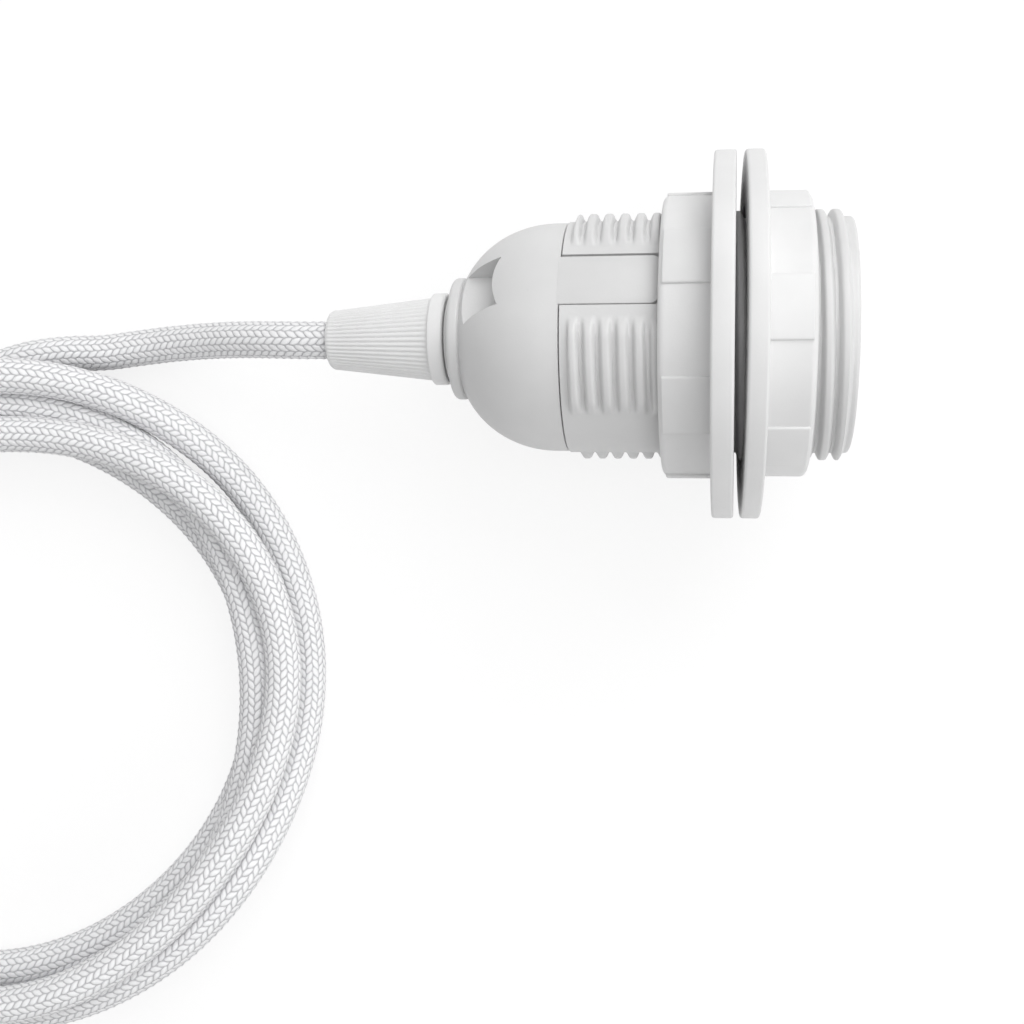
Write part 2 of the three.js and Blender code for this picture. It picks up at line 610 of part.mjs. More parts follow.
// Holder along +Z, then laid down with its mouth towards +X and raised by the tilt
function buildHolder() {
  const holder = new THREE.Group();
  const rear = shadeRing('rear_shade_ring', REAR_FLANGE_THICKNESS, REAR_COLLAR_LENGTH, -REAR_PAD_TURN_DEG);
  rear.rotation.set(Math.PI, rad(RING_LEAN_DEG), 0);
  const front = shadeRing('front_shade_ring', FRONT_FLANGE_THICKNESS, FRONT_COLLAR_LENGTH, FRONT_PAD_TURN_DEG);
  front.rotation.y = rad(RING_LEAN_DEG);
  front.position.z = frontRingZ;
  holder.add(
    cordGrip(), gripCollet(), cap(), barrel(), rear, front, contactBlock(), screwShell(),
    centreContact(), sideContact(),
    terminalClamp('live_clamp', -1), terminalClamp('neutral_clamp', 1),
    terminalScrew('live_clamp_screw', -1), terminalScrew('neutral_clamp_screw', 1),
    cableInside(), coreWire('live_core', -1, LIVE_BROWN), coreWire('neutral_core', 1, NEUTRAL_BLUE),
  );
  holder.rotation.y = Math.PI / 2 - rad(HOLDER_TILT_DEG);
  return holder;
}

// Stands the holder on its lowest rim with the middle of its box over the origin
function settle(holder) {
  holder.updateMatrixWorld(true);
  const box = new THREE.Box3().setFromObject(holder, true);
  holder.position.set(-(box.min.x + box.max.x) / 2, -(box.min.y + box.max.y) / 2, -box.min.z);
  holder.updateMatrixWorld(true);
}

function cordLead(holder) {
  const exit = holder.localToWorld(new THREE.Vector3(0, 0, gripNoseZ)).toArray();
  const straight = holder.localToWorld(new THREE.Vector3(0, 0, gripNoseZ - CORD_DIAMETER)).toArray();
  return named('cord_lead', tube([exit, straight, ...LEAD_POINTS], cordRadius, CORD_SIDES, CORD_LEAD_STEPS),
    plastic(CORD_WHITE, 0.9));
}

function cordCoil() {
  const round = COIL_EDGE_ROUND;
  const profile = [
    [COIL_INNER_RADIUS + round, 0], [COIL_OUTER_RADIUS - round, 0], [COIL_OUTER_RADIUS, round],
    [COIL_OUTER_RADIUS, COIL_HEIGHT - round], [COIL_OUTER_RADIUS - round, COIL_HEIGHT],
    [COIL_INNER_RADIUS + round, COIL_HEIGHT], [COIL_INNER_RADIUS, COIL_HEIGHT - round],
    [COIL_INNER_RADIUS, round], [COIL_INNER_RADIUS + round, 0],
  ];
  const coil = named('cord_coil', closed(turned(profile)), plastic(CORD_WHITE, 0.9));
  coil.position.set(COIL_CENTRE[0], COIL_CENTRE[1], 0);
  return coil;
}

function cordTail() {
  return named('cord_tail', tube(TAIL_POINTS, cordRadius, CORD_SIDES, CORD_TAIL_STEPS), plastic(CORD_WHITE, 0.9));
}

// Plug body: flat, waisted towards the cord, edges chamfered
function plugBody() {
  const wide = PLUG_WIDTH / 2;
  const waist = PLUG_WAIST / 2;
  const layer = (inset) => polygon([
    [-waist + inset, inset], [waist - inset, inset], [wide - inset, PLUG_SHOULDER],
    [wide - inset, PLUG_LENGTH - inset], [-wide + inset, PLUG_LENGTH - inset], [-wide + inset, PLUG_SHOULDER],
  ]);
  const half = PLUG_THICKNESS / 2;
  const core = new THREE.ExtrudeGeometry(layer(PLUG_EDGE), {
    depth: PLUG_THICKNESS - 2 * PLUG_EDGE, bevelEnabled: true, bevelSegments: 1,
    bevelThickness: PLUG_EDGE, bevelSize: PLUG_EDGE,
  }).translate(0, 0, -half + PLUG_EDGE).rotateX(-Math.PI / 2);
  let body = toSolid(core.rotateX(Math.PI));
  for (const side of [-1, 1]) {
    const socketStart = PLUG_LENGTH - PIN_SOCKET_DEPTH;
    const socket = rod(PIN_CORE_RADIUS + SEAT_GAP, socketStart, PLUG_LENGTH + CUT_MARGIN, HOLE_SIDES)
      .translate((side * PIN_SPACING) / 2, 0, 0);
    body = body.subtract(toSolid(socket));
  }
  return named('plug_body', fromSolid(body), plastic(HOLDER_WHITE));
}

function plugPin(name, side) {
  const root = PLUG_LENGTH - PIN_SOCKET_DEPTH + SEAT_GAP;
  const step = PLUG_LENGTH + SLEEVE_LENGTH + SEAT_GAP;
  const tip = PLUG_LENGTH + PIN_LENGTH;
  const profile = [
    [0, root], [PIN_CORE_RADIUS, root], [PIN_CORE_RADIUS, step], [PIN_RADIUS, step],
    [PIN_RADIUS, tip - PIN_TIP_LENGTH], [PIN_RADIUS * PIN_TIP_SHARE, tip], [0, tip],
  ];
  const pin = named(name, closed(turned(profile, PLUG_SIDES)), metal(STEEL));
  pin.position.x = (side * PIN_SPACING) / 2;
  return pin;
}

function pinSleeve(name, side) {
  const start = PLUG_LENGTH + SEAT_GAP;
  const end = PLUG_LENGTH + SLEEVE_LENGTH;
  const shape = turnedRing(PIN_CORE_RADIUS + SEAT_GAP, PIN_RADIUS - SLEEVE_INSET, start, end, PLUG_SIDES);
  const sleeve = named(name, closed(shape), plastic(HOLDER_WHITE));
  sleeve.position.x = (side * PIN_SPACING) / 2;
  return sleeve;
}

function plugRelief() {
  const profile = [
    [0, -RELIEF_LENGTH], [RELIEF_TIP_RADIUS, -RELIEF_LENGTH], [RELIEF_ROOT_RADIUS, -SEAT_GAP], [0, -SEAT_GAP],
  ];
  return named('plug_strain_relief', closed(turned(profile, PLUG_SIDES)), plastic(HOLDER_WHITE));
}

// Plug along +Z from the back of its body, then laid flat in line with the end of the cord
function buildPlug() {
  const plug = new THREE.Group();
  plug.add(
    plugBody(), plugRelief(), plugPin('plug_pin_left', -1), plugPin('plug_pin_right', 1),
    pinSleeve('pin_sleeve_left', -1), pinSleeve('pin_sleeve_right', 1),
  );
  const [before, end] = TAIL_POINTS.slice(-2).map((p) => new THREE.Vector3(...p).setZ(0));
  const along = end.clone().sub(before).normalize();
  const across = new THREE.Vector3(0, 0, 1).cross(along);
  plug.setRotationFromMatrix(new THREE.Matrix4().makeBasis(across, new THREE.Vector3(0, 0, 1), along));
  plug.position.copy(end).addScaledVector(along, RELIEF_LENGTH + SEAT_GAP).setZ(PLUG_THICKNESS / 2);
  return plug;
}

const holder = buildHolder();
settle(holder);
const cordSet = new THREE.Group();
cordSet.add(holder, cordLead(holder), cordCoil(), cordTail(), buildPlug());

export default cordSet;
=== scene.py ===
"""Pendant cord set: a white screw-cap lampholder with two shade rings on a coiled, braided textile cord.

The sizes here are in millimetres and are turned into metres as each mesh is made. The holder's own pieces
are modelled upright, with the cord end down and the mouth up, and are then laid down as the solids lie.
"""

import logging
import math
from dataclasses import dataclass
from enum import Enum

import bpy
import numpy as np
from mathutils import Matrix, Vector


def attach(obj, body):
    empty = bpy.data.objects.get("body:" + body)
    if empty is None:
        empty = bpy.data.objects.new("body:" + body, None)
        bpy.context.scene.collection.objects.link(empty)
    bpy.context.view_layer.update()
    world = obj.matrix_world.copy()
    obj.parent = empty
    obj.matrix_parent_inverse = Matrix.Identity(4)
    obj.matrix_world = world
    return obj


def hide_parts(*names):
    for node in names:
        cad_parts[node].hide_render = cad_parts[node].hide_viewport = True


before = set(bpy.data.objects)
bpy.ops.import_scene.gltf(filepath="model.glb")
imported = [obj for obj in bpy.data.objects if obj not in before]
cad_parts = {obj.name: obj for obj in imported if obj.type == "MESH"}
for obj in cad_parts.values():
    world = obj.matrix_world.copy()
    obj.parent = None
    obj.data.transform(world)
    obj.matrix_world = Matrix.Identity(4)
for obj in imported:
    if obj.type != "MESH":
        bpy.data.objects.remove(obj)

MM = 0.001
LOG = logging.getLogger("pendant_cord_set")

# Places along the holder's axis, measured from the middle of the rear ring's flange
MOUTH_Z = 19.45
FRONT_RING_Z = 4.25
TONGUE_END_Z = -9.85
SEAM_Z = -24.55
CAP_RIM_Z = -24.73
DOME_CENTRE_Z = -26.75
BEAD_Z = -41.95
NECK_Z = -43.55
NECK_END_Z = -44.35
GRIP_RIM_Z = -44.65
GRIP_TAPER_Z = -47.15
GRIP_NOSE_Z = -64.85
SHANK_END_Z = -40.35
SHANK_SEAT_Z = -44.05
BORE_SEAT_Z = -44.85
FLOOR_TOP_Z = -10.05
FLOOR_BOTTOM_Z = -14.05

# Where the first tongue lies round the axis, and the outside thread's pitch
TONGUE_TURN_DEG = 158.2
THREAD_PITCH = 2.5

# How many faces a block's rounded edge takes
ROUND_STEPS = 3

# The rear ring's small chips: turn and half width in degrees, depth in millimetres
RIM_CHIPS = ((62.0, 1.6, 0.5), (66.5, 1.0, 0.3), (71.0, 0.9, 0.25))


class Body(Enum):
    """The three bodies of the frame that pieces ride on."""

    HOLDER = "root"
    REAR_RING = "rear_ring"
    FRONT_RING = "front_ring"


def swell(share: float) -> float:
    """Ease a share from 0 to 1 in and out.

    Args:
        share: how far along, clipped to 0 to 1.

    Returns:
        The eased share, with no slope or bend at either end.
    """
    share = min(1.0, max(0.0, share))
    return share**3 * (share * (6 * share - 15) + 10)


def arc(centre: tuple[float, float], radius: float, start: float, end: float, steps: int) -> list:
    """Give the points of an arc in a profile.

    Args:
        centre: the arc's middle, as distance from the axis and place along it.
        radius: the arc's radius.
        start: the first angle in degrees, 0 pointing away from the axis.
        end: the last angle in degrees.
        steps: how many straight steps the arc takes.

    Returns:
        The profile points, first and last included.
    """
    turns = [math.radians(start + (end - start) * i / steps) for i in range(steps + 1)]
    return [(centre[0] + radius * math.cos(t), centre[1] + radius * math.sin(t)) for t in turns]


def polar(places: np.ndarray) -> tuple[np.ndarray, np.ndarray]:
    """Give each place's distance from the axis, and its turn about it in degrees."""
    return np.hypot(places[:, 0], places[:, 1]), np.degrees(np.arctan2(places[:, 1], places[:, 0]))


def pushed(places: np.ndarray, lift: np.ndarray) -> np.ndarray:
    """Move each place straight away from the axis.

    Args:
        places: the places, one to a row.
        lift: how far each one moves, below zero for inwards.

    Returns:
        The moved places.
    """
    reach, _ = polar(places)
    moved = places.copy()
    moved[:, :2] *= (1 + lift / np.maximum(reach, 0.1))[:, None]
    return moved


class Bench:
    """The modelling steps that the pieces share, each made of Blender's own operators."""

    @staticmethod
    def clear() -> None:
        """Leave edit mode and deselect everything."""
        if bpy.context.object is not None and bpy.context.object.mode != "OBJECT":
            bpy.ops.object.mode_set(mode="OBJECT")
        bpy.ops.object.select_all(action="DESELECT")

    @staticmethod
    def pick(obj: bpy.types.Object) -> None:
        """Select one object alone and make it the active one."""
        Bench.clear()
        obj.select_set(True)
        bpy.context.view_layer.objects.active = obj

    @staticmethod
    def draw(name: str, points: list[tuple[float, float]]) -> bpy.types.Object:
        """Draw a profile by extruding one vertex from point to point.

        Args:
            name: the new object's name.
            points: distance from the axis and place along it, in millimetres.

        Returns:
            The profile as an object in edit mode, all of it selected.
        """
        Bench.clear()
        bpy.ops.mesh.primitive_plane_add(size=MM)
        obj = bpy.context.object
        obj.name = name
        bpy.ops.object.mode_set(mode="EDIT")
        bpy.ops.mesh.select_mode(type="VERT")
        bpy.ops.mesh.select_all(action="SELECT")
        bpy.ops.mesh.merge(type="CENTER")
        bpy.ops.transform.translate(value=(points[0][0] * MM, 0, points[0][1] * MM))
        for here, there in zip(points, points[1:]):
            step = ((there[0] - here[0]) * MM, 0, (there[1] - here[1]) * MM)
            bpy.ops.mesh.extrude_region_move(TRANSFORM_OT_translate={"value": step})
        bpy.ops.mesh.select_all(action="SELECT")
        return obj

    @staticmethod
    def turn(name: str, points: list[tuple[float, float]], sides: int) -> bpy.types.Object:
        """Turn a closed profile about the upright axis, as on a lathe.

        Args:
            name: the new object's name.
            points: the profile, its last point the same as its first or both on the axis.
            sides: how many sides the round shape has.

        Returns:
            The closed solid, its faces pointing outwards.
        """
        obj = Bench.draw(name, points)
        bpy.ops.mesh.spin(steps=sides, angle=2 * math.pi, center=(0, 0, 0), axis=(0, 0, 1))
        bpy.ops.mesh.select_all(action="SELECT")
        bpy.ops.mesh.remove_doubles(threshold=0.002 * MM)
        bpy.ops.mesh.normals_make_consistent(inside=False)
        bpy.ops.object.mode_set(mode="OBJECT")
        return obj

    @staticmethod
    def block(name: str, size: tuple, place: tuple, round_by: float = 0.0) -> bpy.types.Object:
        """Make a block with rounded edges.

        Args:
            name: the new object's name.
            size: its three sizes in millimetres.
            place: its middle in millimetres.
            round_by: how far its edges are rounded, in millimetres.

        Returns:
            The block.
        """
        Bench.clear()
        bpy.ops.mesh.primitive_cube_add(size=1, location=tuple(v * MM for v in place))
        obj = bpy.context.object
        obj.name = name
        obj.scale = tuple(v * MM for v in size)
        bpy.ops.object.transform_apply()
        if round_by > 0:
            bpy.ops.object.mode_set(mode="EDIT")
            bpy.ops.mesh.select_all(action="SELECT")
            bpy.ops.mesh.bevel(offset=round_by * MM, segments=ROUND_STEPS, affect="EDGES")
            bpy.ops.object.mode_set(mode="OBJECT")
        return obj

    @staticmethod
    def cylinder(
        name: str, radius: float, length: float, place: tuple, sides: int = 32, lying: bool = False
    ) -> bpy.types.Object:
        """Make a cylinder, upright or along X.

        Args:
            name: the object's name.
            radius: its radius in millimetres.
            length: its length in millimetres.
            place: its middle in millimetres.
            sides: how many sides the round shape has.
            lying: whether it lies along X.

        Returns:
            The cylinder.
        """
        Bench.clear()
        bpy.ops.mesh.primitive_cylinder_add(
            vertices=sides, radius=radius * MM, depth=length * MM,
            location=Vector(place) * MM, rotation=(0, math.pi / 2 if lying else 0, 0),
        )
        bpy.ops.object.transform_apply()
        bpy.context.object.name = name
        return bpy.context.object

    @staticmethod
    def combine(obj: bpy.types.Object, tool: bpy.types.Object, how: str) -> None:
        """Cut a tool out of a piece, or add it, and remove the tool.

        Args:
            obj: the piece.
            tool: the solid that cuts or is added.
            how: DIFFERENCE, UNION or INTERSECT.
        """
        Bench.pick(obj)
        step = obj.modifiers.new("combine", "BOOLEAN")
        step.object = tool
        step.operation = how
        step.solver = "EXACT"
        bpy.ops.object.modifier_apply(modifier=step.name)
        bpy.data.objects.remove(tool, do_unlink=True)

    @staticmethod
    def spin_about_axis(obj: bpy.types.Object, degrees: float) -> None:
        """Turn an upright piece about the holder's axis and keep the turn in its mesh."""
        lay(obj, Matrix.Rotation(math.radians(degrees), 4, "Z"))

    @staticmethod
    def move_points(obj: bpy.types.Object, rule) -> None:
        """Move each vertex by a rule on its place in millimetres.

        Args:
            obj: the piece.
            rule: takes the places as an array of rows and gives the new ones.
        """
        count = len(obj.data.vertices)
        places = np.empty(count * 3, np.float32)
        obj.data.vertices.foreach_get("co", places)
        moved = rule(places.reshape(-1, 3).astype(float) / MM) * MM
        obj.data.vertices.foreach_set("co", moved.astype(np.float32).ravel())
        obj.data.update()

    @staticmethod
    def soften(obj: bpy.types.Object, width: float, steps: int = 2, sharper_than: float = 35) -> None:
        """Round every edge that is sharper than an angle.

        Args:
            obj: the piece.
            width: the rounding's width in millimetres.
            steps: how many faces it takes.
            sharper_than: the angle in degrees.
        """
        Bench.pick(obj)
        step = obj.modifiers.new("soften", "BEVEL")
        step.width = width * MM
        step.segments = steps
        step.limit_method = "ANGLE"
        step.angle_limit = math.radians(sharper_than)
        step.harden_normals = False
        bpy.ops.object.modifier_apply(modifier=step.name)

    @staticmethod
    def smooth(obj: bpy.types.Object, angle: float = 38) -> None:
        """Shade the piece smooth, but for edges sharper than an angle in degrees."""
        Bench.pick(obj)
        bpy.ops.object.shade_smooth_by_angle(angle=math.radians(angle))


@dataclass(frozen=True)
class HolderPlace:
    """Where the holder lies: its tilt, its rings' lean, and the rear flange's middle in millimetres."""

    tilt_deg: float = 8.5
    lean_deg: float = 0.85
    centre: tuple[float, float, float] = (21.4197, 0.0, 28.8259)

    def matrix(self) -> Matrix:
        """Give the move from the upright holder to where it lies, in metres."""
        turn = Matrix.Rotation(math.radians(90 - self.tilt_deg), 4, "Y")
        return Matrix.Translation(Vector(self.centre) * MM) @ turn

    def rear_ring(self) -> Matrix:
        """Give the move for the rear ring, its collar towards the cord and leaning on its rim."""
        lean = Matrix.Rotation(math.radians(self.lean_deg), 4, "Y")
        return self.matrix() @ Matrix.Rotation(math.pi, 4, "X") @ lean

    def front_ring(self) -> Matrix:
        """Give the move for the front ring, its collar towards the mouth."""
        lean = Matrix.Rotation(math.radians(self.lean_deg), 4, "Y")
        return self.matrix() @ Matrix.Translation((0, 0, FRONT_RING_Z * MM)) @ lean


def lay(obj: bpy.types.Object, place: Matrix) -> None:
    """Lay an upright piece where it belongs and keep the place in its mesh.

    Args:
        obj: the piece, modelled upright at the origin.
        place: the move from there to where it lies.
    """
    Bench.pick(obj)
    obj.matrix_world = place @ obj.matrix_world
    bpy.ops.object.transform_apply()


def hand_over(obj: bpy.types.Object, body: Body, finish, replaced: list[str]) -> None:
    """Dress a piece, hang it on its body and hide the solids that it stands for.

    Args:
        obj: the finished piece.
        body: the body that it rides on.
        finish: the finish that it gets.
        replaced: the solids that it stands for.
    """
    obj.data.materials.clear()
    obj.data.materials.append(finish.material())
    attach(obj, body.value)
    if replaced:
        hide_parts(*replaced)
    LOG.info("%s: %d faces, on %s", obj.name, len(obj.data.polygons), body.value)


class Nodes:
    """A small kit that lays out the nodes of one material."""

    def __init__(self, name: str, roughness: float, metallic: float = 0.0, sheen: float = 0.0) -> None:
        """Start a material with its shader.

        Args:
            name: the material's name.
            roughness: the shader's roughness where nothing drives it.
            metallic: 1 for bare metal.
            sheen: how strong the cloth's sheen is.
        """
        self.made = bpy.data.materials.new(name)
        self.made.use_nodes = True
        self.tree = self.made.node_tree
        self.shader = self.tree.nodes["Principled BSDF"]
        self.shader.inputs["Roughness"].default_value = roughness
        self.shader.inputs["Metallic"].default_value = metallic
        self.shader.inputs["Sheen Weight"].default_value = sheen
        self.shader.inputs["Sheen Roughness"].default_value = 0.5

    def add(self, kind: str, **values):
        """Add a node and fill its settings and sockets.

        Args:
            kind: the node's type.
            **values: settings by their own name, and sockets by their name with _ for a space.

        Returns:
            The node.
        """
        node = self.tree.nodes.new(kind)
        for key, value in values.items():
            socket = key.replace("_", " ")
            if hasattr(node, key):
                setattr(node, key, value)
            elif hasattr(value, "is_output"):
                self.tree.links.new(value, node.inputs[socket])
            else:
                node.inputs[socket].default_value = value
        return node

    def sum(self, how: str, first, second=0.0, third=0.0, clamp: bool = False):
        """Add a Math node.

        Args:
            how: its operation.
            first: an output or a number.
            second: an output or a number.
            third: an output or a number, for the operations that take three.
            clamp: whether the result is kept between 0 and 1.

        Returns:
            The node's output.
        """
        node = self.tree.nodes.new("ShaderNodeMath")
        node.operation = how
        node.use_clamp = clamp
        for socket, value in zip(node.inputs, (first, second, third)):
            if hasattr(value, "is_output"):
                self.tree.links.new(value, socket)
            else:
                socket.default_value = value
        return node.outputs[0]

    def place(self):
        """Give the output of the object's own coordinates."""
        return self.add("ShaderNodeTexCoord").outputs["Object"]

    def noise(self, where, scale: float, detail: float = 3.0, roughness: float = 0.55):
        """Give the output of a noise at a scale in features per metre."""
        node = self.add("ShaderNodeTexNoise", Vector=where, Scale=scale, Detail=detail, Roughness=roughness)
        return node.outputs[0]

    def between(self, share, low: float, high: float):
        """Spread a share from 0 to 1 over a range."""
        return self.sum("MULTIPLY_ADD", share, high - low, low)

    def shades(self, share, stops: list[tuple[float, tuple[float, float, float]]]):
        """Turn a share into a colour by a ramp.

        Args:
            share: the output that drives it.
            stops: places and their colours.

        Returns:
            The colour output.
        """
        ramp = self.add("ShaderNodeValToRGB", Fac=share)
        band = ramp.color_ramp
        while len(band.elements) < len(stops):
            band.elements.new(0.5)
        for element, (place, colour) in zip(band.elements, stops):
            element.position = place
            element.color = (*colour, 1.0)
        return ramp.outputs["Color"]

    def bump(self, height, depth: float, strength: float = 1.0, under=None):
        """Add a bump of a depth in metres, on top of another one if it is given."""
        node = self.add("ShaderNodeBump", Height=height, Strength=strength, Distance=depth)
        if under is not None:
            self.tree.links.new(under, node.inputs["Normal"])
        return node.outputs["Normal"]

    def link(self, output, socket: str) -> None:
        """Join an output to a socket of the shader."""
        self.tree.links.new(output, self.shader.inputs[socket])


class Dressing:
    """A finish that makes its material the first time it is asked for."""

    def material(self) -> bpy.types.Material:
        """Give the finish's material, made once."""
        return bpy.data.materials.get(self.name) or self.fresh()


@dataclass(frozen=True)
class MouldedPlastic(Dressing):
    """Satin moulded thermoplastic: a fine spark-worn skin, faint flow clouds and a few specks of dust."""

    name: str
    tone: tuple[float, float, float]
    roughness: float = 0.42
    skin_depth: float = 0.00003
    skin_scale: float = 2600.0
    cloud: float = 0.025
    specks: float = 0.12

    def fresh(self) -> bpy.types.Material:
        """Make the material."""
        kit = Nodes(self.name, self.roughness)
        where = kit.place()
        clouds = kit.noise(where, 55.0, 4.0)
        dust = kit.noise(where, 900.0, 1.0, 0.4)
        speck = kit.sum("GREATER_THAN", dust, 0.80)
        mottled = kit.sum("MULTIPLY_ADD", speck, -self.specks, clouds)
        dark = tuple(c * (1 - self.cloud * 2) for c in self.tone)
        light = tuple(min(1.0, c * (1 + self.cloud)) for c in self.tone)
        kit.link(kit.shades(mottled, [(0.3, dark), (0.7, light)]), "Base Color")
        skin = kit.noise(where, self.skin_scale, 2.0)
        rubbed = kit.sum("ADD", kit.between(clouds, -0.05, 0.07), kit.between(skin, -0.04, 0.04))
        kit.link(kit.sum("ADD", rubbed, self.roughness), "Roughness")
        waves = kit.bump(kit.noise(where, 120.0, 2.0), 0.00008, 0.35)
        kit.link(kit.bump(skin, self.skin_depth, 0.5, waves), "Normal")
        return kit.made


@dataclass(frozen=True)
class BraidedTextile(Dressing):
    """White textile braid: leaning stitches in rows along the cord, alternate rows leaning the other way.

    The piece's UV map carries the turn round the cord in U and the way along it, in metres, in V.
    Its colour is darker in the gaps between stitches and between plies: painted shade.
    """

    name: str = "white_braid"
    rows: int = 16
    stitch: float = 0.00146
    lean: float = 0.62
    # dark is the low end of the braid's colour, reached mostly in the gaps between stitches: painted shade;
    # pale is the yarn's own white
    dark: tuple[float, float, float] = (0.60, 0.60, 0.62)
    pale: tuple[float, float, float] = (0.93, 0.93, 0.94)
    depth: float = 0.00028

    def fresh(self) -> bpy.types.Material:
        """Make the material."""
        kit = Nodes(self.name, 0.82, sheen=0.25)
        uv = kit.add("ShaderNodeUVMap", uv_map="braid")
        split = kit.add("ShaderNodeSeparateXYZ", Vector=uv.outputs["UV"])
        column = kit.sum("MULTIPLY", split.outputs["X"], float(self.rows))
        row = kit.sum("FLOOR", column)
        across = kit.sum("SUBTRACT", kit.sum("SUBTRACT", column, row), 0.5)
        odd = kit.sum("FLOORED_MODULO", row, 2.0)
        side = kit.sum("MULTIPLY_ADD", odd, 2.0, -1.0)
        slant = kit.sum("MULTIPLY", kit.sum("MULTIPLY", across, side), self.lean)
        steps = kit.sum("ADD", kit.sum("DIVIDE", split.outputs["Y"], self.stitch), slant)
        steps = kit.sum("MULTIPLY_ADD", odd, 0.5, steps)
        stitch = kit.sum("FLOOR", steps)
        along = kit.sum("SUBTRACT", kit.sum("SUBTRACT", steps, stitch), 0.5)
        over = kit.sum("MULTIPLY", kit.sum("MULTIPLY", along, along), 4.0)
        beside = kit.sum("POWER", kit.sum("ABSOLUTE", kit.sum("MULTIPLY", across, 2.0)), 3.0)
        dome = kit.sum("SUBTRACT", 1.0, kit.sum("MULTIPLY_ADD", beside, 0.8, over), clamp=True)
        height = kit.sum("SQRT", dome)
        chosen = kit.add("ShaderNodeCombineXYZ", X=row, Y=stitch)
        luck = kit.add("ShaderNodeTexWhiteNoise", Vector=chosen.outputs[0]).outputs["Value"]
        thread_lines = kit.sum("MULTIPLY_ADD", along, 6.0, kit.sum("MULTIPLY", across, 1.5))
        ply = kit.sum("MULTIPLY", kit.sum("SINE", kit.sum("MULTIPLY", thread_lines, 6.2832)), 0.06)
        fuzz = kit.noise(kit.place(), 5200.0, 2.0)
        # The colour follows the stitch height and the ply lines, darker in the gaps between stitches and
        # plies: painted shade. The luck and fuzz add the yarn's own random tone.
        shade = kit.sum("MULTIPLY_ADD", height, 0.82, kit.sum("MULTIPLY_ADD", luck, 0.16, ply))
        shade = kit.sum("ADD", shade, kit.between(fuzz, -0.07, 0.07), clamp=True)
        kit.link(kit.shades(shade, [(0.12, self.dark), (0.75, self.pale)]), "Base Color")
        relief = kit.sum("ADD", kit.sum("MULTIPLY_ADD", ply, 0.8, height), kit.between(fuzz, -0.06, 0.06))
        kit.link(kit.bump(relief, self.depth, 0.9), "Normal")
        return kit.made


@dataclass(frozen=True)
class BareMetal(Dressing):
    """Stamped or plated metal: fine drawing lines, rubbed patches and a slight change of tone."""

    name: str
    tone: tuple[float, float, float]
    dull: tuple[float, float, float]
    roughness: float = 0.28

    def fresh(self) -> bpy.types.Material:
        """Make the material."""
        kit = Nodes(self.name, self.roughness, metallic=1.0)
        where = kit.place()
        patches = kit.noise(where, 240.0, 4.0)
        kit.link(kit.shades(patches, [(0.35, self.dull), (0.6, self.tone)]), "Base Color")
        stretched = kit.add("ShaderNodeMapping", Vector=where)
        stretched.inputs["Scale"].default_value = (0.08, 1.0, 1.0)
        lines = kit.noise(stretched.outputs[0], 9000.0, 2.0)
        wear = kit.sum("ADD", kit.between(patches, -0.08, 0.12), kit.between(lines, -0.06, 0.06))
        kit.link(kit.sum("ADD", wear, self.roughness), "Roughness")
        kit.link(kit.bump(lines, 0.00001, 0.5), "Normal")
        return kit.made


class Finish(Enum):
    """Each finish of the cord set."""

    HOLDER = MouldedPlastic("moulded_holder", (0.68, 0.68, 0.68))
    RING = MouldedPlastic("moulded_ring", (0.76, 0.76, 0.76))
    GRIP = MouldedPlastic("moulded_grip", (0.80, 0.80, 0.80), roughness=0.36)
    BLOCK = MouldedPlastic("moulded_block", (0.62, 0.61, 0.57), roughness=0.6)
    PLUG = MouldedPlastic("moulded_plug", (0.72, 0.72, 0.72), roughness=0.32, skin_scale=1800.0)
    BRASS = BareMetal("stamped_brass", (0.78, 0.62, 0.32), (0.62, 0.46, 0.22))
    STEEL = BareMetal("nickel_plate", (0.74, 0.75, 0.77), (0.60, 0.61, 0.63), 0.2)
    BRAID = BraidedTextile()
    LIVE = MouldedPlastic("brown_insulation", (0.14, 0.05, 0.02), roughness=0.4)
    NEUTRAL = MouldedPlastic("blue_insulation", (0.02, 0.09, 0.30), roughness=0.4)


@dataclass
class CameraRig:
    """The camera straight above the set, as the photograph was taken, and turned a little about its axis."""

    place: tuple[float, float, float] = (-12.24, -28.37, 244.81)
    focal_px: float = 1350.0
    frame_px: float = 1024.0
    sensor: float = 36.0
    roll_deg: float = 0.6

    def build(self) -> None:
        """Make the camera and hand it to the scene."""
        data = bpy.data.cameras.new("camera")
        data.sensor_width = self.sensor
        data.lens = self.sensor * self.focal_px / self.frame_px
        data.clip_start, data.clip_end = 0.01, 20.0
        camera = bpy.data.objects.new("camera", data)
        bpy.context.scene.collection.objects.link(camera)
        camera.location = Vector(self.place) * MM
        camera.rotation_euler = (0, 0, math.radians(self.roll_deg))
        bpy.context.scene.camera = camera


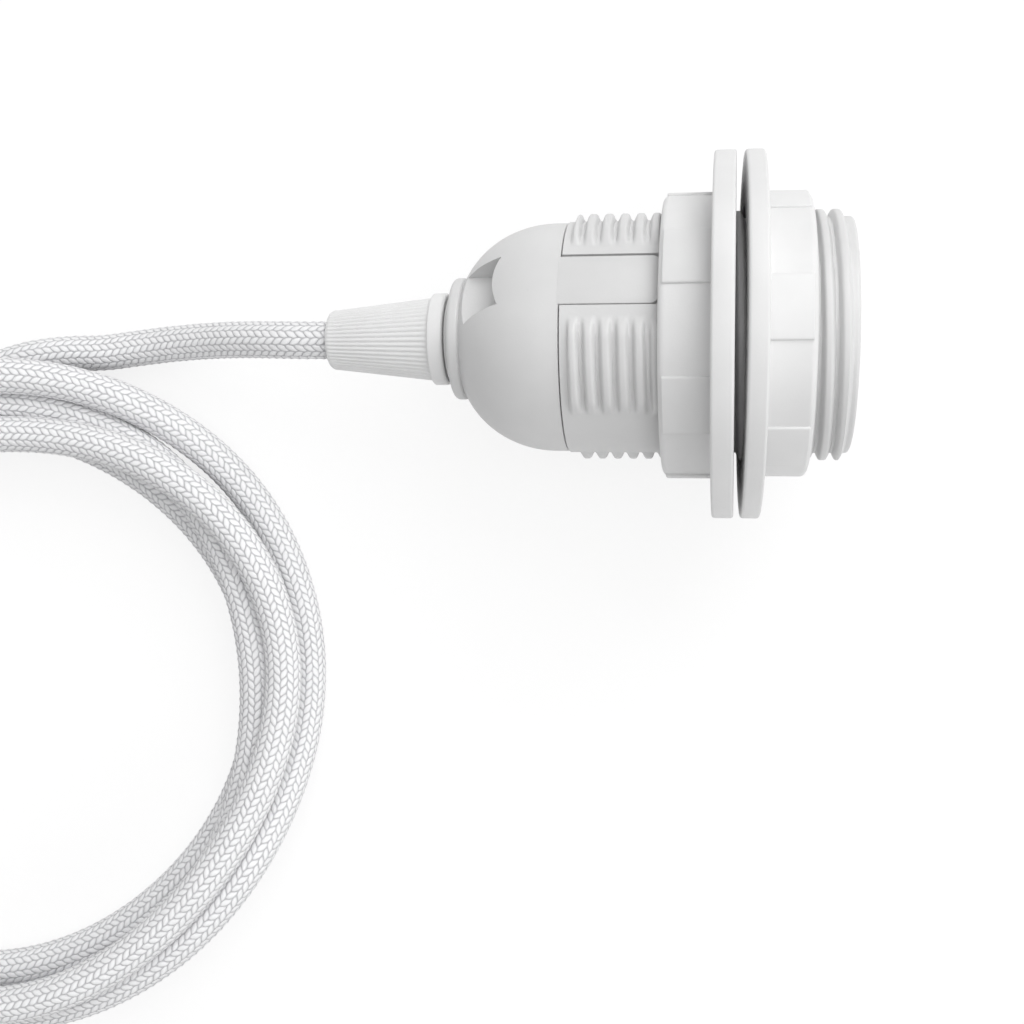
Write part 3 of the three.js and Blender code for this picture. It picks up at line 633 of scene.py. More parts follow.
@dataclass
class Studio:
    """Pale floor and soft lights: a broad one overhead, a key from beyond the top of the picture and a fill.

    The floor glows to the eye and keeps a faint shadow, as a light table does.
    """

    floor_half: float = 2.5
    floor_tone: float = 0.82
    floor_glow: float = 0.75
    glow_level: float = 1.07
    world_level: float = 0.50
    key_watts: float = 5.2
    top_watts: float = 2.8
    fill_watts: float = 1.9

    def floor_material(self) -> bpy.types.Material:
        """Make the floor's finish: pale to the light, and nearly plain white where it is looked at."""
        kit = Nodes("studio_floor", 0.9)
        grain = kit.noise(kit.place(), 40.0, 3.0)
        tone = self.floor_tone
        kit.link(kit.shades(grain, [(0.3, (tone * 0.98,) * 3), (0.7, (tone,) * 3)]), "Base Color")
        path = kit.add("ShaderNodeLightPath")
        seen = kit.sum("MAXIMUM", path.outputs["Is Camera Ray"], path.outputs["Is Transmission Ray"])
        seen = kit.sum("MAXIMUM", seen, kit.sum("MULTIPLY", path.outputs["Is Glossy Ray"], 0.6))
        glow = kit.add("ShaderNodeEmission", Color=(1, 1, 1, 1), Strength=self.glow_level)
        mix = kit.add("ShaderNodeMixShader", Fac=kit.sum("MULTIPLY", seen, self.floor_glow))
        kit.tree.links.new(kit.shader.outputs[0], mix.inputs[1])
        kit.tree.links.new(glow.outputs[0], mix.inputs[2])
        kit.tree.links.new(mix.outputs[0], kit.tree.nodes["Material Output"].inputs["Surface"])
        return kit.made

    def lamp(self, name: str, place: tuple, aim: tuple, size: float, watts: float) -> None:
        """Add a soft square lamp.

        Args:
            name: the lamp's name.
            place: where it stands, in metres.
            aim: the point it faces, in metres.
            size: its side in metres.
            watts: its power.
        """
        data = bpy.data.lights.new(name, "AREA")
        data.shape = "SQUARE"
        data.size = size
        data.energy = watts
        lamp = bpy.data.objects.new(name, data)
        bpy.context.scene.collection.objects.link(lamp)
        lamp.location = place
        lamp.rotation_euler = (Vector(aim) - Vector(place)).to_track_quat("-Z", "Y").to_euler()

    def build(self) -> None:
        """Make the floor, the lamps and the world."""
        bpy.context.scene.view_settings.view_transform = "Standard"
        Bench.clear()
        bpy.ops.mesh.primitive_plane_add(size=self.floor_half * 2, location=(0, 0, -0.0003))
        floor = bpy.context.object
        floor.name = "studio_floor"
        bpy.ops.object.transform_apply()
        floor.data.materials.append(self.floor_material())
        world = bpy.data.worlds.new("studio_world")
        bpy.context.scene.world = world
        world.use_nodes = True
        sky = world.node_tree.nodes["Background"]
        sky.inputs["Color"].default_value = (1, 1, 1, 1)
        path = world.node_tree.nodes.new("ShaderNodeLightPath")
        level = world.node_tree.nodes.new("ShaderNodeMath")
        level.operation = "MULTIPLY_ADD"
        level.inputs[1].default_value = 1.0 - self.world_level
        level.inputs[2].default_value = self.world_level
        world.node_tree.links.new(path.outputs["Is Camera Ray"], level.inputs[0])
        world.node_tree.links.new(level.outputs[0], sky.inputs["Strength"])
        self.lamp("key_lamp", (0.30, 0.65, 0.75), (-0.03, -0.03, 0.02), 0.7, self.key_watts)
        self.lamp("top_lamp", (0.1, 0.1, 1.1), (-0.03, -0.03, 0.0), 0.8, self.top_watts)
        self.lamp("fill_lamp", (0.65, -0.45, 0.5), (-0.03, -0.03, 0.02), 0.6, self.fill_watts)


@dataclass(frozen=True)
class CoilTurn:
    """One turn of the coil from above: its mean radius, and how far it swings in and out on its way round."""

    radius: float
    swings: tuple[tuple[float, float], ...]

    def reach(self, angle: float) -> float:
        """Give the turn's distance from the coil's middle at an angle in radians."""
        waves = enumerate(self.swings, 1)
        return self.radius + sum(c * math.cos(k * angle) + s * math.sin(k * angle) for k, (c, s) in waves)


@dataclass(frozen=True)
class CordRoute:
    """The way the cord lies, in millimetres: down from the grip, round the coil and out to the plug."""

    diameter: float = 6.2
    step: float = 3.0
    turn_step_deg: float = 6.0
    centre: tuple[float, float] = (-103.1, -62.1)
    entry_radius: float = 58.4
    leave_radius: float = 64.1
    leave_deg: float = 100.0
    first_deg: float = 74.0
    last_deg: float = 1617.0
    settle_rounds: int = 1500
    weight: float = 0.009
    grip: float = 0.03
    touch: tuple[float, float] = (-80, 0.1)
    run_in_deg: float = 92.4
    run_in_slope: float = 0.3
    lead: tuple = (
        (-42.72, 0, 19.24), (-48.6, 0.1, 18.0), (-54, 0.4, 15.8), (-59, 0.7, 13.1), (-66, 0.9, 8.9),
        (-73, 0.7, 5.6), (-79.5, 0.1, 3.8),
    )
    tail: tuple = ((-167.1, -74, 9.4), (-168, -83, 8.2), (-167.6, -92, 7.2), (-166.6, -101, 6.9))
    turns: tuple = (
        CoilTurn(47.99, ((-1.60, 0.27), (-0.75, -0.21), (0.83, 0.43))),
        CoilTurn(51.66, ((-2.80, -2.19), (-1.81, 1.78), (-0.18, -0.31))),
        CoilTurn(55.23, ((-0.07, 0.70), (-0.14, 1.27), (-0.33, -0.08))),
        CoilTurn(49.73, ((0.92, -1.42), (0.96, 1.28), (0.03, 1.26))),
    )

    def radius_at(self, degrees: float) -> float:
        """Give the coil's radius where each turn runs into the next over the left half.

        Args:
            degrees: the angle wound so far, 90 at the top of the first turn.

        Returns:
            The distance from the coil's middle.
        """
        angle = math.radians(degrees)
        wound = math.floor((degrees - 90) / 360)
        part = degrees - 90 - 360 * wound
        if wound < 0:
            return self.entry_radius + max(0.0, self.run_in_deg - degrees) * self.run_in_slope
        before = self.turns[wound - 1].reach(angle) if wound else self.entry_radius
        if wound == len(self.turns):
            return before + (self.leave_radius - before) * swell(part / self.leave_deg)
        return before + (self.turns[wound].reach(angle) - before) * swell(part / 180)

    def points(self) -> list[tuple[float, float, float]]:
        """Give the route's points, with the coil's turns worked out one after another.

        Returns:
            The points from the grip to the plug, before the turns settle on each other.
        """
        ground = self.diameter / 2
        route = list(self.lead)
        degrees = self.first_deg
        while degrees < self.last_deg:
            radius, angle = self.radius_at(degrees), math.radians(degrees)
            x = self.centre[0] + radius * math.cos(angle)
            route.append((x, self.centre[1] + radius * math.sin(angle), ground))
            degrees += self.turn_step_deg
        return route + list(self.tail)

    @staticmethod
    def curve(points: np.ndarray, step: float) -> np.ndarray:
        """Run a smooth curve through points and share it out evenly.

        Args:
            points: the points it passes through.
            step: how far apart the new points are, about.

        Returns:
            The evenly spaced points, both ends kept.
        """
        padded = np.vstack([2 * points[0] - points[1], points, 2 * points[-1] - points[-2]])
        fine = []
        for i in range(1, len(padded) - 2):
            a, b, c, d = padded[i - 1 : i + 3]
            count = max(2, int(np.linalg.norm(c - b) / step * 3) + 1)
            for s in np.arange(count) / count:
                cubic = (3 * b - a - 3 * c + d) * s**3
                fine.append(0.5 * (2 * b + (c - a) * s + (2 * a - 5 * b + 4 * c - d) * s * s + cubic))
        fine.append(points[-1])
        fine = np.array(fine)
        run = np.r_[0, np.cumsum(np.linalg.norm(np.diff(fine, axis=0), axis=1))]
        even = np.linspace(0, run[-1], int(round(run[-1] / step)) + 1)
        return np.stack([np.interp(even, run, fine[:, i]) for i in range(3)], axis=1)

    def settled(self) -> np.ndarray:
        """Let the turns come to rest on the ground and on each other, in long low humps.

        Returns:
            The cord's centreline from the grip to the plug.
        """
        line = self.curve(np.array(self.points(), float), self.step)
        flat = line[:, :2]
        apart = np.linalg.norm(flat[:, None] - flat[None], axis=2)
        order = np.arange(len(line))
        laid_before = (order[:, None] - order[None]) * self.step > 4 * self.diameter
        crossing = laid_before & (apart < self.diameter)
        lift = np.where(crossing, np.sqrt(np.maximum(self.diameter**2 - apart**2, 0)), -np.inf)
        held = np.zeros(len(line), bool)
        touch = np.linalg.norm(flat - np.array(self.touch), axis=1).argmin()
        held[:touch] = line[:touch, 2] > self.diameter / 2 + 0.4
        held[np.linalg.norm(flat - np.array(self.tail[2][:2]), axis=1).argmin() :] = True
        bends = np.diff(np.eye(len(line)), 2, axis=0)
        give = np.linalg.inv(bends.T @ bends + self.grip * np.eye(len(line)))
        height, push = line[:, 2].copy(), np.zeros(len(line))
        for _ in range(self.settle_rounds):
            free = give @ (self.grip * (height - push) - self.weight)
            ground = np.maximum(self.diameter / 2, np.max(height[None] + lift, axis=1))
            height = np.maximum(free + push, ground)
            height[held] = line[held, 2]
            push += free - height
        line[:, 2] = height
        return line


@dataclass
class BraidedCord:
    """The cord's textile braid as a tube whose surface swells at each stitch."""

    finish: BraidedTextile
    radius: float = 3.1
    swell: float = 0.13
    raised: float = 0.6
    sunk: float = -0.4

    def tube(self, name: str, line: np.ndarray) -> bpy.types.Object:
        """Make a braided tube round a centreline.

        Args:
            name: the piece's name.
            line: the centreline in millimetres.

        Returns:
            The closed tube, with the UV map that its finish follows.
        """
        sides, pace = self.finish.rows * 2, self.finish.stitch / MM / 2
        line = CordRoute.curve(line, pace)
        count = len(line)
        ahead = np.gradient(line, axis=0)
        ahead /= np.linalg.norm(ahead, axis=1)[:, None]
        beside = np.cross(ahead, (0, 0, 1))
        beside /= np.linalg.norm(beside, axis=1)[:, None]
        above = np.cross(beside, ahead)
        turn = np.arange(sides) / sides * 2 * math.pi
        ring, column = np.meshgrid(np.arange(count), np.arange(sides), indexing="ij")
        raised = (column % 2 == 1) & ((ring + column // 2) % 2 == 0)
        reach = self.radius + self.swell * np.where(raised, self.raised, self.sunk)
        out = beside[:, None] * np.cos(turn)[None, :, None] + above[:, None] * np.sin(turn)[None, :, None]
        places = (line[:, None] + out * reach[..., None]).reshape(-1, 3)
        places = np.vstack([places, line[0], line[-1]]) * MM
        first, second = (ring[:-1] * sides + column[:-1]), (ring[:-1] * sides + (column[:-1] + 1) % sides)
        faces = np.stack([first, first + sides, second + sides, second], axis=-1).reshape(-1, 4).tolist()
        last = (count - 1) * sides
        for j in range(sides):
            faces.append([count * sides, j, (j + 1) % sides])
            faces.append([count * sides + 1, last + (j + 1) % sides, last + j])
        mesh = bpy.data.meshes.new(name)
        mesh.from_pydata(places.tolist(), [], faces)
        self.wrap(mesh, ring[:-1], column[:-1], sides)
        mesh.polygons.foreach_set("use_smooth", np.ones(len(faces), bool))
        piece = bpy.data.objects.new(name, mesh)
        bpy.context.scene.collection.objects.link(piece)
        return piece

    def wrap(self, mesh: bpy.types.Mesh, ring: np.ndarray, column: np.ndarray, sides: int) -> None:
        """Give the tube its UV map: the turn round it in U, the metres along it in V.

        Args:
            mesh: the tube's mesh, its wall faces first and its two ends after them.
            ring: each wall face's ring number.
            column: each wall face's column number.
            sides: how many sides the tube has.
        """
        pace = self.finish.stitch / 2
        across = np.stack([column, column, column + 1, column + 1], axis=-1) / sides
        along = np.stack([ring, ring + 1, ring + 1, ring], axis=-1) * pace
        wall = np.stack([across, along], axis=-1).reshape(-1, 2)
        ends = np.tile((0.5, 0.5), (len(mesh.loops) - len(wall), 1))
        layer = mesh.uv_layers.new(name="braid")
        layer.data.foreach_set("uv", np.vstack([wall, ends]).astype(np.float32).ravel())

    def build(self, route: CordRoute, plug_pieces: list) -> None:
        """Args:
            route: the way it lies.
            plug_pieces: the separate pieces on its far end; not used.
        """
        line = route.settled()
        length = float(np.linalg.norm(np.diff(line, axis=0), axis=1).sum()) * MM
        cord = self.tube("braided_cord", line)
        hand_over(cord, Body.HOLDER, self.finish, ["cord_lead", "cord_coil", "cord_tail"])
        top = float(line[:, 2].max()) + route.diameter / 2
        LOG.info("cord: %.3f m, top of the coil at %.1f mm", length, top)


@dataclass
class CordGrip:
    """Tapered grip that holds the cord: ribbed sleeve, plain rim and a shank in the cap's neck."""

    nose_radius: float = 4.95
    nose_round: float = 1.1
    taper_radius: float = 6.75
    rim_radius: float = 7.5
    shank_radius: float = 5.7
    bore_radius: float = 3.35
    shank_bore: float = 4.9
    ribs: int = 48
    rib_depth: float = 0.24
    sides_per_rib: int = 8

    def profile(self) -> list:
        """Give the closed profile, from the bore round the nose, sleeve, rim and shank."""
        round_by = self.nose_round
        nose = arc((self.nose_radius - round_by, GRIP_NOSE_Z + round_by), round_by, -90, -8, 6)
        start, end = GRIP_NOSE_Z + round_by * 1.2, GRIP_TAPER_Z - 0.5
        slope = (self.taper_radius - self.nose_radius) / (end - start)
        sleeve = [(self.nose_radius + slope * (z - start), z) for z in np.linspace(start, end, 24)]
        rim = arc((self.rim_radius - 0.35, GRIP_TAPER_Z + 0.35), 0.35, -80, 0, 4)
        rim += arc((self.rim_radius - 0.5, GRIP_RIM_Z - 0.5), 0.5, 0, 90, 5)
        shank = [(self.shank_radius, GRIP_RIM_Z), (self.shank_radius, SHANK_END_Z)]
        seat = [(self.shank_bore, z) for z in (SHANK_END_Z, SHANK_SEAT_Z)] + [(self.bore_radius, BORE_SEAT_Z)]
        lip = [(self.bore_radius, GRIP_NOSE_Z + 0.5), (self.bore_radius + 0.3, GRIP_NOSE_Z)]
        return [*nose, *sleeve, (self.taper_radius + 0.1, GRIP_TAPER_Z), *rim, *shank, *seat, *lip, nose[0]]

    def flute(self, places: np.ndarray) -> np.ndarray:
        """Cut the fine ribs into the sleeve, fading out at both of its ends."""
        reach, _ = polar(places)
        along = (places[:, 2] - GRIP_NOSE_Z) / (GRIP_TAPER_Z - GRIP_NOSE_Z)
        outer = (reach > self.nose_radius - 0.6) & (places[:, 2] < GRIP_TAPER_Z - 0.3)
        ends = np.clip((along - 0.01) / 0.05, 0, 1) * np.clip((0.985 - along) / 0.03, 0, 1)
        wave = 0.5 - 0.5 * np.cos(self.ribs * np.arctan2(places[:, 1], places[:, 0]))
        return pushed(places, np.where(outer, -self.rib_depth * ends * wave**1.6, 0))

    def build(self, place: Matrix) -> None:
        """Make the grip and lay it in place."""
        grip = Bench.turn("ribbed_cord_grip", self.profile(), self.ribs * self.sides_per_rib)
        Bench.move_points(grip, self.flute)
        Bench.smooth(grip, 50)
        lay(grip, place)
        hand_over(grip, Body.HOLDER, Finish.GRIP.value, ["cord_grip"])


@dataclass
class Cap:
    """Domed cap: neck, bead, elliptic dome and skirt, with two snap tongues and two driver recesses."""

    radius: float = 18.3
    wall: float = 2.0
    dome_axial: float = 16.0
    dome_radial: float = 14.35
    dome_length: float = 14.5
    crown_share: float = 0.97
    bead_radius: float = 9.9
    neck_radius: float = 7.0
    bore_radius: float = 6.0
    sides: int = 224
    tongue_width: float = 8.2
    tongue_thickness: float = 1.15
    tongue_proud: float = 0.015
    tongue_turn_deg: float = TONGUE_TURN_DEG
    recess_width: float = 8.8
    recess_floor: float = 10.7
    recess_length: float = 6.6
    recess_nose: float = 9.35
    recess_wall: float = 1.2
    recess_turn_deg: float = 153.5

    def dome(self, inset: float, reach: float, steps: int) -> list:
        """Give the dome's arc from its widest section towards the neck.

        Args:
            inset: how far inside the outer face it runs.
            reach: how far it goes towards the neck.
            steps: how many straight steps it takes.

        Returns:
            The profile points.
        """
        axial, radial = self.dome_axial - inset, self.dome_radial - inset
        end, centre = math.asin(min(1.0, reach / axial)), self.radius - self.dome_radial
        turns = [end * i / steps for i in range(steps + 1)]
        return [(centre + radial * math.cos(t), DOME_CENTRE_Z - axial * math.sin(t)) for t in turns]

    def profile(self) -> list:
        """Give the closed profile of the cap's shell."""
        outside = self.dome(0, self.dome_length, 40)[::-1]
        step_z = BEAD_Z + self.recess_length + self.recess_wall
        crown_z = DOME_CENTRE_Z - (self.dome_axial - self.wall) * self.crown_share
        inside = self.dome(self.wall, DOME_CENTRE_Z - step_z, 16)
        pocket = self.recess_floor - self.recess_wall
        inside += [(pocket, step_z), (pocket, crown_z), (self.bore_radius, crown_z)]
        bead = arc((self.bead_radius - 0.75, NECK_Z + 0.75), 0.75, -90, 0, 6)
        bead += arc((self.bead_radius - 0.35, BEAD_Z - 0.1), 0.35, 0, 65, 4)
        bead += [(self.bead_radius - 0.4, BEAD_Z + 0.38)]
        neck = [(self.bore_radius, NECK_END_Z), (self.neck_radius, NECK_END_Z), (self.neck_radius, NECK_Z)]
        rim = [(self.radius, CAP_RIM_Z - 0.12), (self.radius - 0.12, CAP_RIM_Z)]
        rim += [(self.radius - self.wall, CAP_RIM_Z)]
        return [*neck, *bead, *outside, *rim, *inside, neck[0]]

    def recess(self, turn_deg: float) -> bpy.types.Object:
        """Make the cutter of one driver recess, its far end hollow as a cutter's round nose leaves it."""
        hollow = self.recess_nose - math.sqrt(self.recess_nose**2 - (self.recess_width / 2) ** 2)
        size = (self.radius + 2 - self.recess_floor, self.recess_width, self.recess_length + hollow)
        middle = (self.recess_floor + size[0] / 2, 0, BEAD_Z + size[2] / 2)
        cutter = Bench.block("recess_cutter", size, middle)
        place = (middle[0], 0, BEAD_Z + self.recess_length + self.recess_nose)
        nose = Bench.cylinder("recess_nose", self.recess_nose, size[0] + 2, place, 96, lying=True)
        Bench.combine(cutter, nose, "DIFFERENCE")
        Bench.spin_about_axis(cutter, turn_deg)
        return cutter

    def tongue(self, turn_deg: float) -> bpy.types.Object:
        """Make one snap tongue: a curved strip with rounded free corners, rooted in the cap's skirt."""
        outer = self.radius + self.tongue_proud
        inner = outer - self.tongue_thickness
        start = CAP_RIM_Z - 0.25
        ring = [(inner, start), (outer, start), (outer, TONGUE_END_Z), (inner, TONGUE_END_Z), (inner, start)]
        strip = Bench.turn("tongue", ring, self.sides)
        size = (self.radius + 4, self.tongue_width, TONGUE_END_Z - start + 4)
        plate = Bench.block("plate", size, (size[0] / 2, 0, TONGUE_END_Z - size[2] / 2))
        Bench.pick(plate)
        bpy.ops.object.mode_set(mode="EDIT")
        bpy.ops.mesh.select_mode(type="EDGE")
        bpy.ops.mesh.select_all(action="DESELECT")
        bpy.ops.object.mode_set(mode="OBJECT")
        for edge in plate.data.edges:
            a, b = (plate.data.vertices[v].co for v in edge.vertices)
            edge.select = min(a.z, b.z) > (TONGUE_END_Z - 0.1) * MM and abs(a.y - b.y) < 1e-6
        bpy.ops.object.mode_set(mode="EDIT")
        bpy.ops.mesh.bevel(offset=1.1 * MM, segments=6, affect="EDGES")
        bpy.ops.object.mode_set(mode="OBJECT")
        Bench.spin_about_axis(plate, turn_deg)
        Bench.combine(strip, plate, "INTERSECT")
        Bench.soften(strip, 0.14, 3)
        return strip

    def build(self, place: Matrix) -> None:
        """Make the cap and lay it in place."""
        cap = Bench.turn("domed_cap", self.profile(), self.sides)
        for half in (0, 180):
            Bench.combine(cap, self.recess(self.recess_turn_deg + half), "DIFFERENCE")
        for half in (0, 180):
            Bench.combine(cap, self.tongue(self.tongue_turn_deg + half), "UNION")
        Bench.smooth(cap, 32)
        lay(cap, place)
        hand_over(cap, Body.HOLDER, Finish.HOLDER.value, ["cap"])


@dataclass
class Barrel:
    """Threaded barrel: a helical thread, whole at the mouth and in four fading blocks at the cap end."""

    root_radius: float = 18.5
    crest_radius: float = 19.65
    pitch: float = THREAD_PITCH
    bore_radius: float = 16.0
    ledge_radius: float = 14.4
    spigot_radius: float = 16.0
    block_deg: float = 46.5
    block_offset_deg: float = 44.0
    tongue_turn_deg: float = TONGUE_TURN_DEG
    start_phase: float = 0.06
    crest_fill: float = 1.12
    flank_fall: float = 1.75
    flank_power: float = 1.7
    run_in: float = 1.5
    mouth_margin: float = 0.9
    fade_deg: float = 7.0
    slot_width: float = 8.8
    slot_depth: float = 1.5
    sides: int = 216
    steps_per_pitch: int = 12

    def profile(self) -> list:
        """Give the closed profile of the plain shell, its outside wall cut finely for the thread."""
        steps = int((MOUTH_Z - 0.5 - SEAM_Z) / self.pitch * self.steps_per_pitch)
        wall = [(self.root_radius, z) for z in np.linspace(SEAM_Z + 0.1, MOUTH_Z - 0.5, steps)]
        mouth = arc((self.root_radius - 0.5, MOUTH_Z - 0.5), 0.5, 15, 90, 4)
        mouth += [(self.bore_radius + 0.3, MOUTH_Z), (self.bore_radius, MOUTH_Z - 0.3)]
        inside = [(self.bore_radius, FLOOR_BOTTOM_Z - 0.3), (self.ledge_radius, FLOOR_BOTTOM_Z - 0.3)]
        spigot = [(radius, SEAM_Z - 3) for radius in (self.ledge_radius, self.spigot_radius)]
        spigot += [(self.spigot_radius, SEAM_Z)]
        foot = (self.root_radius - 0.1, SEAM_Z)
        return [foot, *wall, *mouth, *inside, *spigot, foot]

    def window(self, degrees: np.ndarray, z: np.ndarray) -> np.ndarray:
        """Say how much of the thread stands: 1 in a block or past the blocks, 0 between them."""
        share = np.zeros_like(degrees)
        for half in (0, 180):
            for side in (-1, 1):
                centre = self.tongue_turn_deg + half + side * self.block_offset_deg
                away = np.abs((degrees - centre + 180) % 360 - 180)
                share = np.maximum(share, np.clip((self.block_deg / 2 - away) / self.fade_deg, 0, 1))
        past = np.clip((z - TONGUE_END_Z - 0.6) / 0.8, 0, 1)
        share = np.maximum(share**0.6, past)
        start = np.clip((z - SEAM_Z - self.run_in + 0.4) / 0.5, 0, 1)
        end = np.clip((MOUTH_Z - self.mouth_margin - z) / 0.6, 0, 1)
        return share * start * end

    def thread(self, places: np.ndarray) -> np.ndarray:
        """Raise the thread on the plain outside wall."""
        reach, turn = polar(places)
        outside = (reach > self.root_radius - 0.05) & (places[:, 2] < MOUTH_Z - 0.4)
        wave = ((places[:, 2] - turn / 360 * self.pitch) / self.pitch + self.start_phase) % 1
        hump = np.clip(self.crest_fill - self.flank_fall * np.abs(wave * 2 - 1) ** self.flank_power, 0, 1)
        ridge = np.sin(hump * math.pi / 2) ** 0.9 * (self.crest_radius - self.root_radius)
        return pushed(places, np.where(outside, ridge * self.window(turn, places[:, 2]), 0))

    def slot(self, turn_deg: float) -> bpy.types.Object:
        """Make the cutter of the shallow slot that a tongue lies in."""
        length = TONGUE_END_Z + 0.9 - SEAM_Z + 1
        reach = self.crest_radius + 3
        near = self.root_radius - self.slot_depth
        middle = ((near + reach) / 2, 0, TONGUE_END_Z + 0.9 - length / 2)
        cutter = Bench.block("slot_cutter", (reach - near, self.slot_width, length), middle)
        Bench.spin_about_axis(cutter, turn_deg)
        return cutter

    def build(self, place: Matrix) -> None:
        """Make the barrel and lay it in place."""
        barrel = Bench.turn("threaded_barrel", self.profile(), self.sides)
        Bench.move_points(barrel, self.thread)
        for half in (0, 180):
            Bench.combine(barrel, self.slot(self.tongue_turn_deg + half), "DIFFERENCE")
        Bench.smooth(barrel, 40)
        lay(barrel, place)
        hand_over(barrel, Body.HOLDER, Finish.HOLDER.value, ["barrel"])


@dataclass
class ShadeRing:
    """Threaded shade ring: a flat flange and a nut collar with six rounded grip pads, threaded inside."""

    name: str
    solid: str
    body: Body
    thickness: float
    collar_length: float
    pad_turn_deg: float
    chips: tuple = ()
    radius: float = 29.0
    collar_radius: float = 22.25
    bore_radius: float = 20.15
    pad_radius: float = 22.65
    pads: int = 6
    pad_deg: float = 25.0
    corner: float = 1.0
    thread_depth: float = 0.45
    pitch: float = THREAD_PITCH
    sides: int = 240

    def profile(self) -> list:
        """Give the closed profile of flange and collar."""
        half, end = self.thickness / 2, self.thickness / 2 + self.collar_length
        rim = arc((self.radius - 0.45, -half + 0.45), 0.45, -90, 0, 5)
        rim += arc((self.radius - 0.45, half - 0.45), 0.45, 0, 90, 5)
        collar = self.collar_radius
        root = [(collar + 0.3, half), (collar + 0.08, half + 0.1), (collar, half + 0.35)]
        wall = [(collar, z) for z in np.linspace(half + 0.9, end - self.corner - 0.3, 6)]
        crown = arc((collar - self.corner, end - self.corner), self.corner, 0, 90, 7)
        steps = int((end + half - 1.2) / self.pitch * 8)
        bore = [(self.bore_radius, z) for z in np.linspace(end - 0.6, -half + 0.6, steps)]
        lips = [(self.bore_radius + 0.5, end), *bore, (self.bore_radius + 0.5, -half)]
        return [*rim, *root, *wall, *crown, *lips, rim[0]]

    def inner_thread(self, places: np.ndarray) -> np.ndarray:
        """Cut the inside thread into the bore, and knock the ring's small chips into its rim."""
        reach, turn = polar(places)
        wave = ((places[:, 2] - turn / 360 * self.pitch) / self.pitch) % 1
        inside = reach < self.bore_radius + 0.05
        cut = np.where(inside, self.thread_depth * (0.5 - 0.5 * np.cos(wave * 2 * math.pi)), 0)
        edge = (reach > self.radius - 0.5) & (places[:, 2] < 0)
        for centre, half, depth in self.chips:
            away = np.clip(1 - np.abs((turn - centre + 180) % 360 - 180) / half, 0, 1)
            cut = cut - np.where(edge, depth * away, 0)
        return pushed(places, cut)

    def pad(self, turn_deg: float) -> bpy.types.Object:
        """Make one raised grip pad: a piece of ring with rounded edges."""
        half, end = self.thickness / 2, self.thickness / 2 + self.collar_length
        inner, outer = self.collar_radius - 0.8, self.pad_radius
        length = (half - 0.15, end - 0.55)
        corners = [(inner, length[0]), (outer, length[0]), (outer, length[1]), (inner, length[1])]
        obj = Bench.draw("pad", corners)
        bpy.ops.mesh.edge_face_add()
        bpy.ops.mesh.spin(steps=16, angle=math.radians(self.pad_deg), center=(0, 0, 0), axis=(0, 0, 1))
        bpy.ops.mesh.select_all(action="SELECT")
        bpy.ops.mesh.normals_make_consistent(inside=False)
        bpy.ops.object.mode_set(mode="OBJECT")
        middle = sum((v.co for v in obj.data.vertices), Vector())
        Bench.spin_about_axis(obj, turn_deg - math.degrees(math.atan2(middle.y, middle.x)))
        Bench.soften(obj, 0.28, 3, 60)
        return obj

    def build(self, place: Matrix) -> None:
        """Make the ring and lay it in place."""
        ring = Bench.turn(self.name, self.profile(), self.sides)
        Bench.move_points(ring, self.inner_thread)
        for i in range(self.pads):
            Bench.combine(ring, self.pad(self.pad_turn_deg + 360 / self.pads * i), "UNION")
        Bench.smooth(ring, 35)
        lay(ring, place)
        hand_over(ring, self.body, Finish.RING.value, [self.solid])


